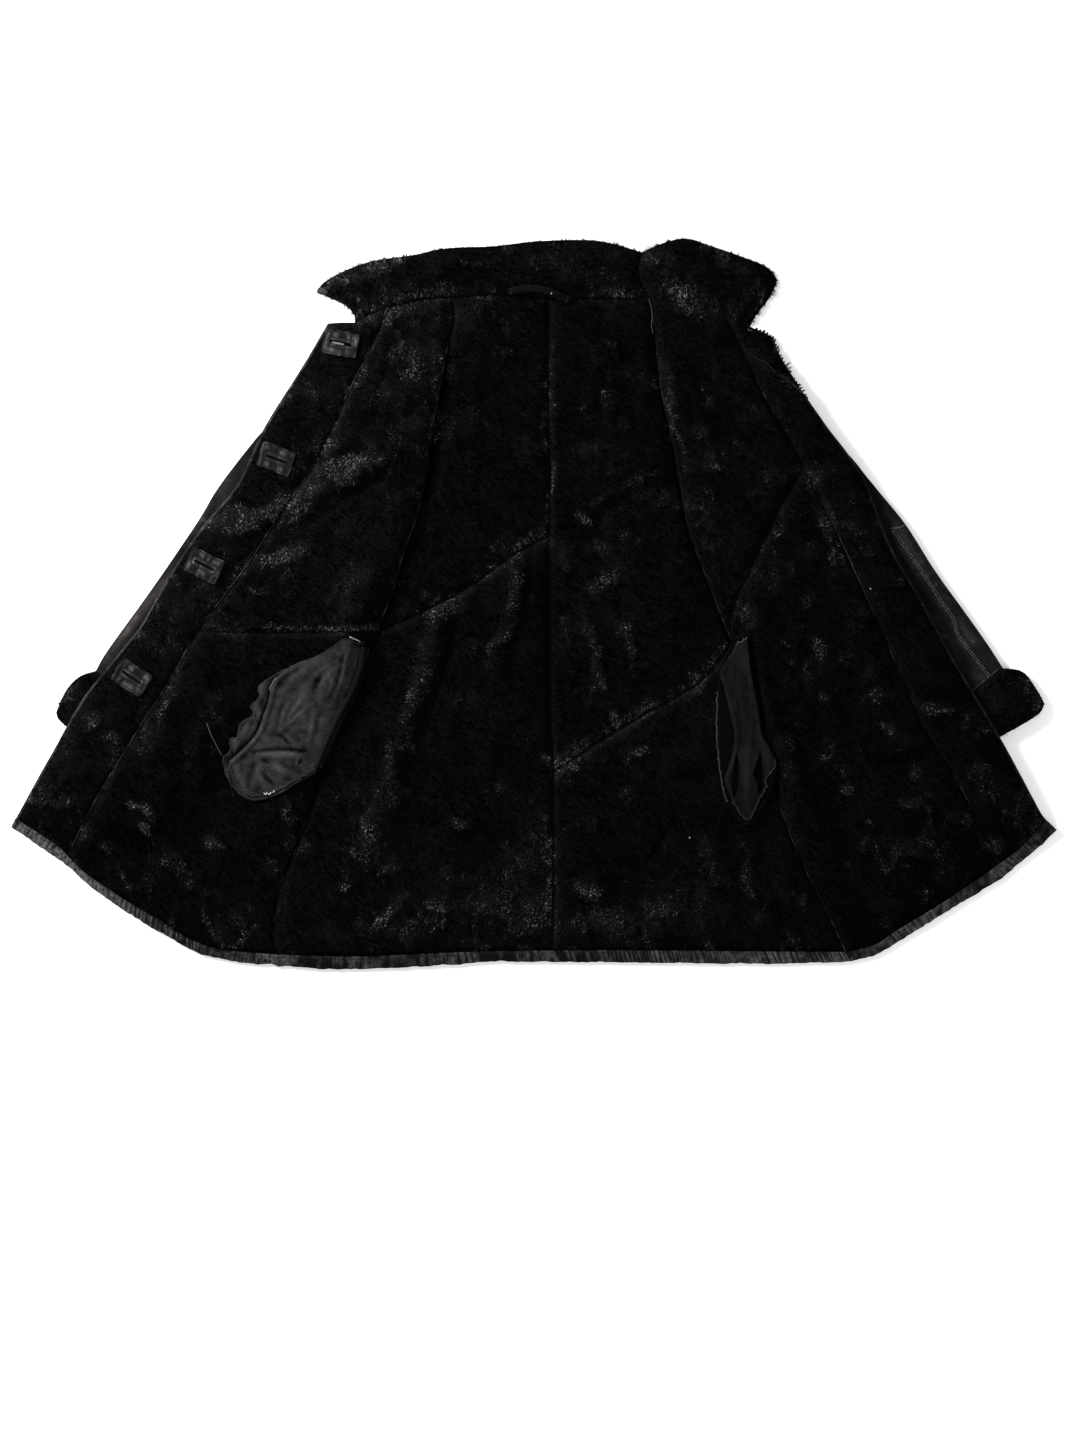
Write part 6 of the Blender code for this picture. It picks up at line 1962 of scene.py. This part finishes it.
def turned_button(name, x, d):
    """A four-hole button turned from cast polyester, with a rolled rim and a dished middle,
    and the thread through its holes."""
    lowest, highest = np.array(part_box(name)) / MM
    low, high = lowest[2], highest[2]
    radius, thick = (highest[0] - lowest[0]) / 2, high - low
    count = 48
    points = [(x, d, low + BUTTON_RINGS[0][1] * thick)]
    for share, z in BUTTON_RINGS[1:-1]:
        for k in range(count):
            turn = math.tau * k / count
            points.append((x + radius * share * math.cos(turn),
                           d + radius * share * math.sin(turn), low + z * thick))
    points.append((x, d, low + BUTTON_RINGS[-1][1] * thick))
    last = len(points) - 1
    faces = []
    for k in range(count):
        nxt = (k + 1) % count
        faces.append((0, 1 + nxt, 1 + k))
        faces.append((last, last - count + k, last - count + nxt))
        for ring in range(len(BUTTON_RINGS) - 3):
            a, b = 1 + ring * count, 1 + (ring + 1) * count
            faces.append((a + k, a + nxt, b + nxt, b + k))
    piece = mesh_of(name + "_turned", points, faces, [BUTTON])
    turns = np.arange(12) * math.tau / 12
    circle = HOLE_RADIUS * np.stack([np.cos(turns), np.sin(turns)], axis=1)
    holes = [circle + (x + i * HOLE_OFFSET, d + j * HOLE_OFFSET)
             for j in (-1, 1) for i in (-1, 1)]
    cut_away(piece, [prism(hole, low - 2, high + 2) for hole in holes])
    sewn = []
    for side in (-1, 1):
        for beside in (-0.45, 0.0, 0.45):
            row = d + side * HOLE_OFFSET + beside
            sewn.append(np.array([(x - HOLE_OFFSET, row, high - 0.4),
                                  (x - 1.6, row, low + thick * 0.28),
                                  (x, row, low + thick * 0.22),
                                  (x + 1.6, row, low + thick * 0.28),
                                  (x + HOLE_OFFSET, row, high - 0.4)]))
    return piece, tubes(name + "_thread", sewn, 0.28, BLACK_THREAD, 5)


for name, (x, d) in BUTTONS.items():
    piece, sewing = turned_button(name, x, d)
    dress(piece)
    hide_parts(name)
    dress(sewing)


# Clumps of wool that hang over the ragged corner of the left front

corner = sampled(joined(neck["free left"], left_edge[:40]), np.linspace(0.05, 0.95, 34))
corner = corner[corner[:, 1] < 118]
middle = np.array([244.0, 96.0])
rng = np.random.default_rng(97)
clumps, thickness, pale = [], [], []
for spot in corner:
    way = spot - middle
    way = way / np.linalg.norm(way) + rng.normal(0, 0.35, 2)
    root = spot - way * 3.0
    high = max(hits(root, ("front_left_edge",)) or [4.0]) - 1.0
    reach = 1.5 + 3.5 * rng.random() ** 1.5
    clumps.append(np.array([(*root, high - 1.5), (*(root + way * (3.0 + 0.4 * reach)), high - 0.5),
                            (*(root + way * (3.0 + reach)), high - 2.5)]))
    thickness.append(np.array([1.5, 1.3, 0.5]) * (0.7 + 0.7 * rng.random()))
    pale.append(np.array([0.05, 0.1, 0.3]) * rng.random())
dress(tubes("corner_clumps", clumps, thickness, WOOL, 5, 1.0, pale))


# Loose threads and edges of hide on the pile: material, radius, height over the solid, line
STRAYS = {
    "tack_thread": (LIGHT_THREAD, 0.22, 2.6,
                    [(-392, 490), (-387, 504), (-381, 516), (-375, 528)]),
    "neck_thread": (LIGHT_THREAD, 0.16, 2.6,
                    [(116, 2), (119, 12), (120, 24), (119, 32), (121, 42)]),
    "corner_thread": (LIGHT_THREAD, 0.22, 2.6, [(230, 36), (232, 38), (235, 38)]),
    "corner_fold_1": (LEFT_EDGE_HIDE, 0.36, 2.6,
                      [(237, 68), (243, 73), (249, 75), (256, 82), (262, 88)]),
    "corner_fold_2": (LEFT_EDGE_HIDE, 0.46, 2.6,
                      [(265, 90), (270, 92), (275, 98), (281, 100), (288, 107)]),
    "corner_edge": (EDGE_HIDE, 1.0, 4.6, [(280, 101), (284, 104), (288, 107), (291, 111)]),
}
for name, (material, radius, above, line) in STRAYS.items():
    path = smooth(line, 6)
    path = np.column_stack([path, [level_at(x, d) + above for x, d in path]])
    dress(tubes(name, [path], radius, material, 5))

# The hide shows as a small rolled tab at the tip of the collar's right half
tab = smooth([(-266, -9), (-263, -8), (-259, -7), (-254, -6)], 6)
tab = np.column_stack([tab, np.full(len(tab), level_at(*tab[-1]) + 3.4)])
size = 4.2 * np.sin(np.linspace(0.7, 2.7, len(tab)))
dress(tubes("collar_tab", [tab], [size], TAB_HIDE, 10, 0.6))

# Specks of lint, each a small ball of wound thread
LINT = {"breast": (370, 336), "skirt": (163, 622), "neck": (4, -4)}
turns = np.linspace(0, 9, 26)
for name, (x, d) in LINT.items():
    ball = np.column_stack([x + 0.6 * np.cos(turns) * np.sin(turns * 0.37),
                            d + 0.6 * np.sin(turns),
                            level_at(x, d) + 3.0 + 0.4 * np.cos(turns * 1.7)])
    dress(tubes("lint_" + name, [ball], 0.22, PALE_THREAD, 4))


# Camera, floor and light

camera = linked("camera", bpy.data.cameras.new("camera"))
camera.location = (VIEW_X * MM, VIEW_Y * MM, (COAT_LEVEL + DISTANCE) * MM)
camera.data.sensor_width = 36.0
camera.data.lens = camera.data.sensor_width * DISTANCE / FIELD
camera.data.clip_end = 60.0
bpy.context.scene.camera = camera

floor_mesh = bpy.data.meshes.new("studio_floor")
floor_mesh.from_pydata([(x * FLOOR_REACH * MM, y * FLOOR_REACH * MM, FLOOR_LEVEL * MM)
                        for x, y in ((-1, -1), (1, -1), (1, 1), (-1, 1))], [], [(0, 1, 2, 3)])
floor_mesh.materials.append(studio_floor("studio_paper"))
floor = linked("studio_floor", floor_mesh)

world = bpy.data.worlds.new("studio")
world.use_nodes = True
background = world.node_tree.nodes["Background"].inputs
background["Color"].default_value = (1.0, 1.0, 1.0, 1.0)
background["Strength"].default_value = 0.5
bpy.context.scene.world = world
bpy.context.scene.view_settings.view_transform = "Standard"


def soft_light(name, place, size, power):
    """A square soft box aimed at the middle of the coat."""
    light = bpy.data.lights.new(name, "AREA")
    light.size = size
    light.energy = power
    lamp = linked(name, light)
    lamp.location = place
    lamp.rotation_euler = (-Vector(place)).to_track_quat("-Z", "Y").to_euler()


soft_light("key", (-2.4, 1.5, 2.0), 1.0, 230)
soft_light("fill", (1.8, -1.4, 3.0), 2.4, 30)
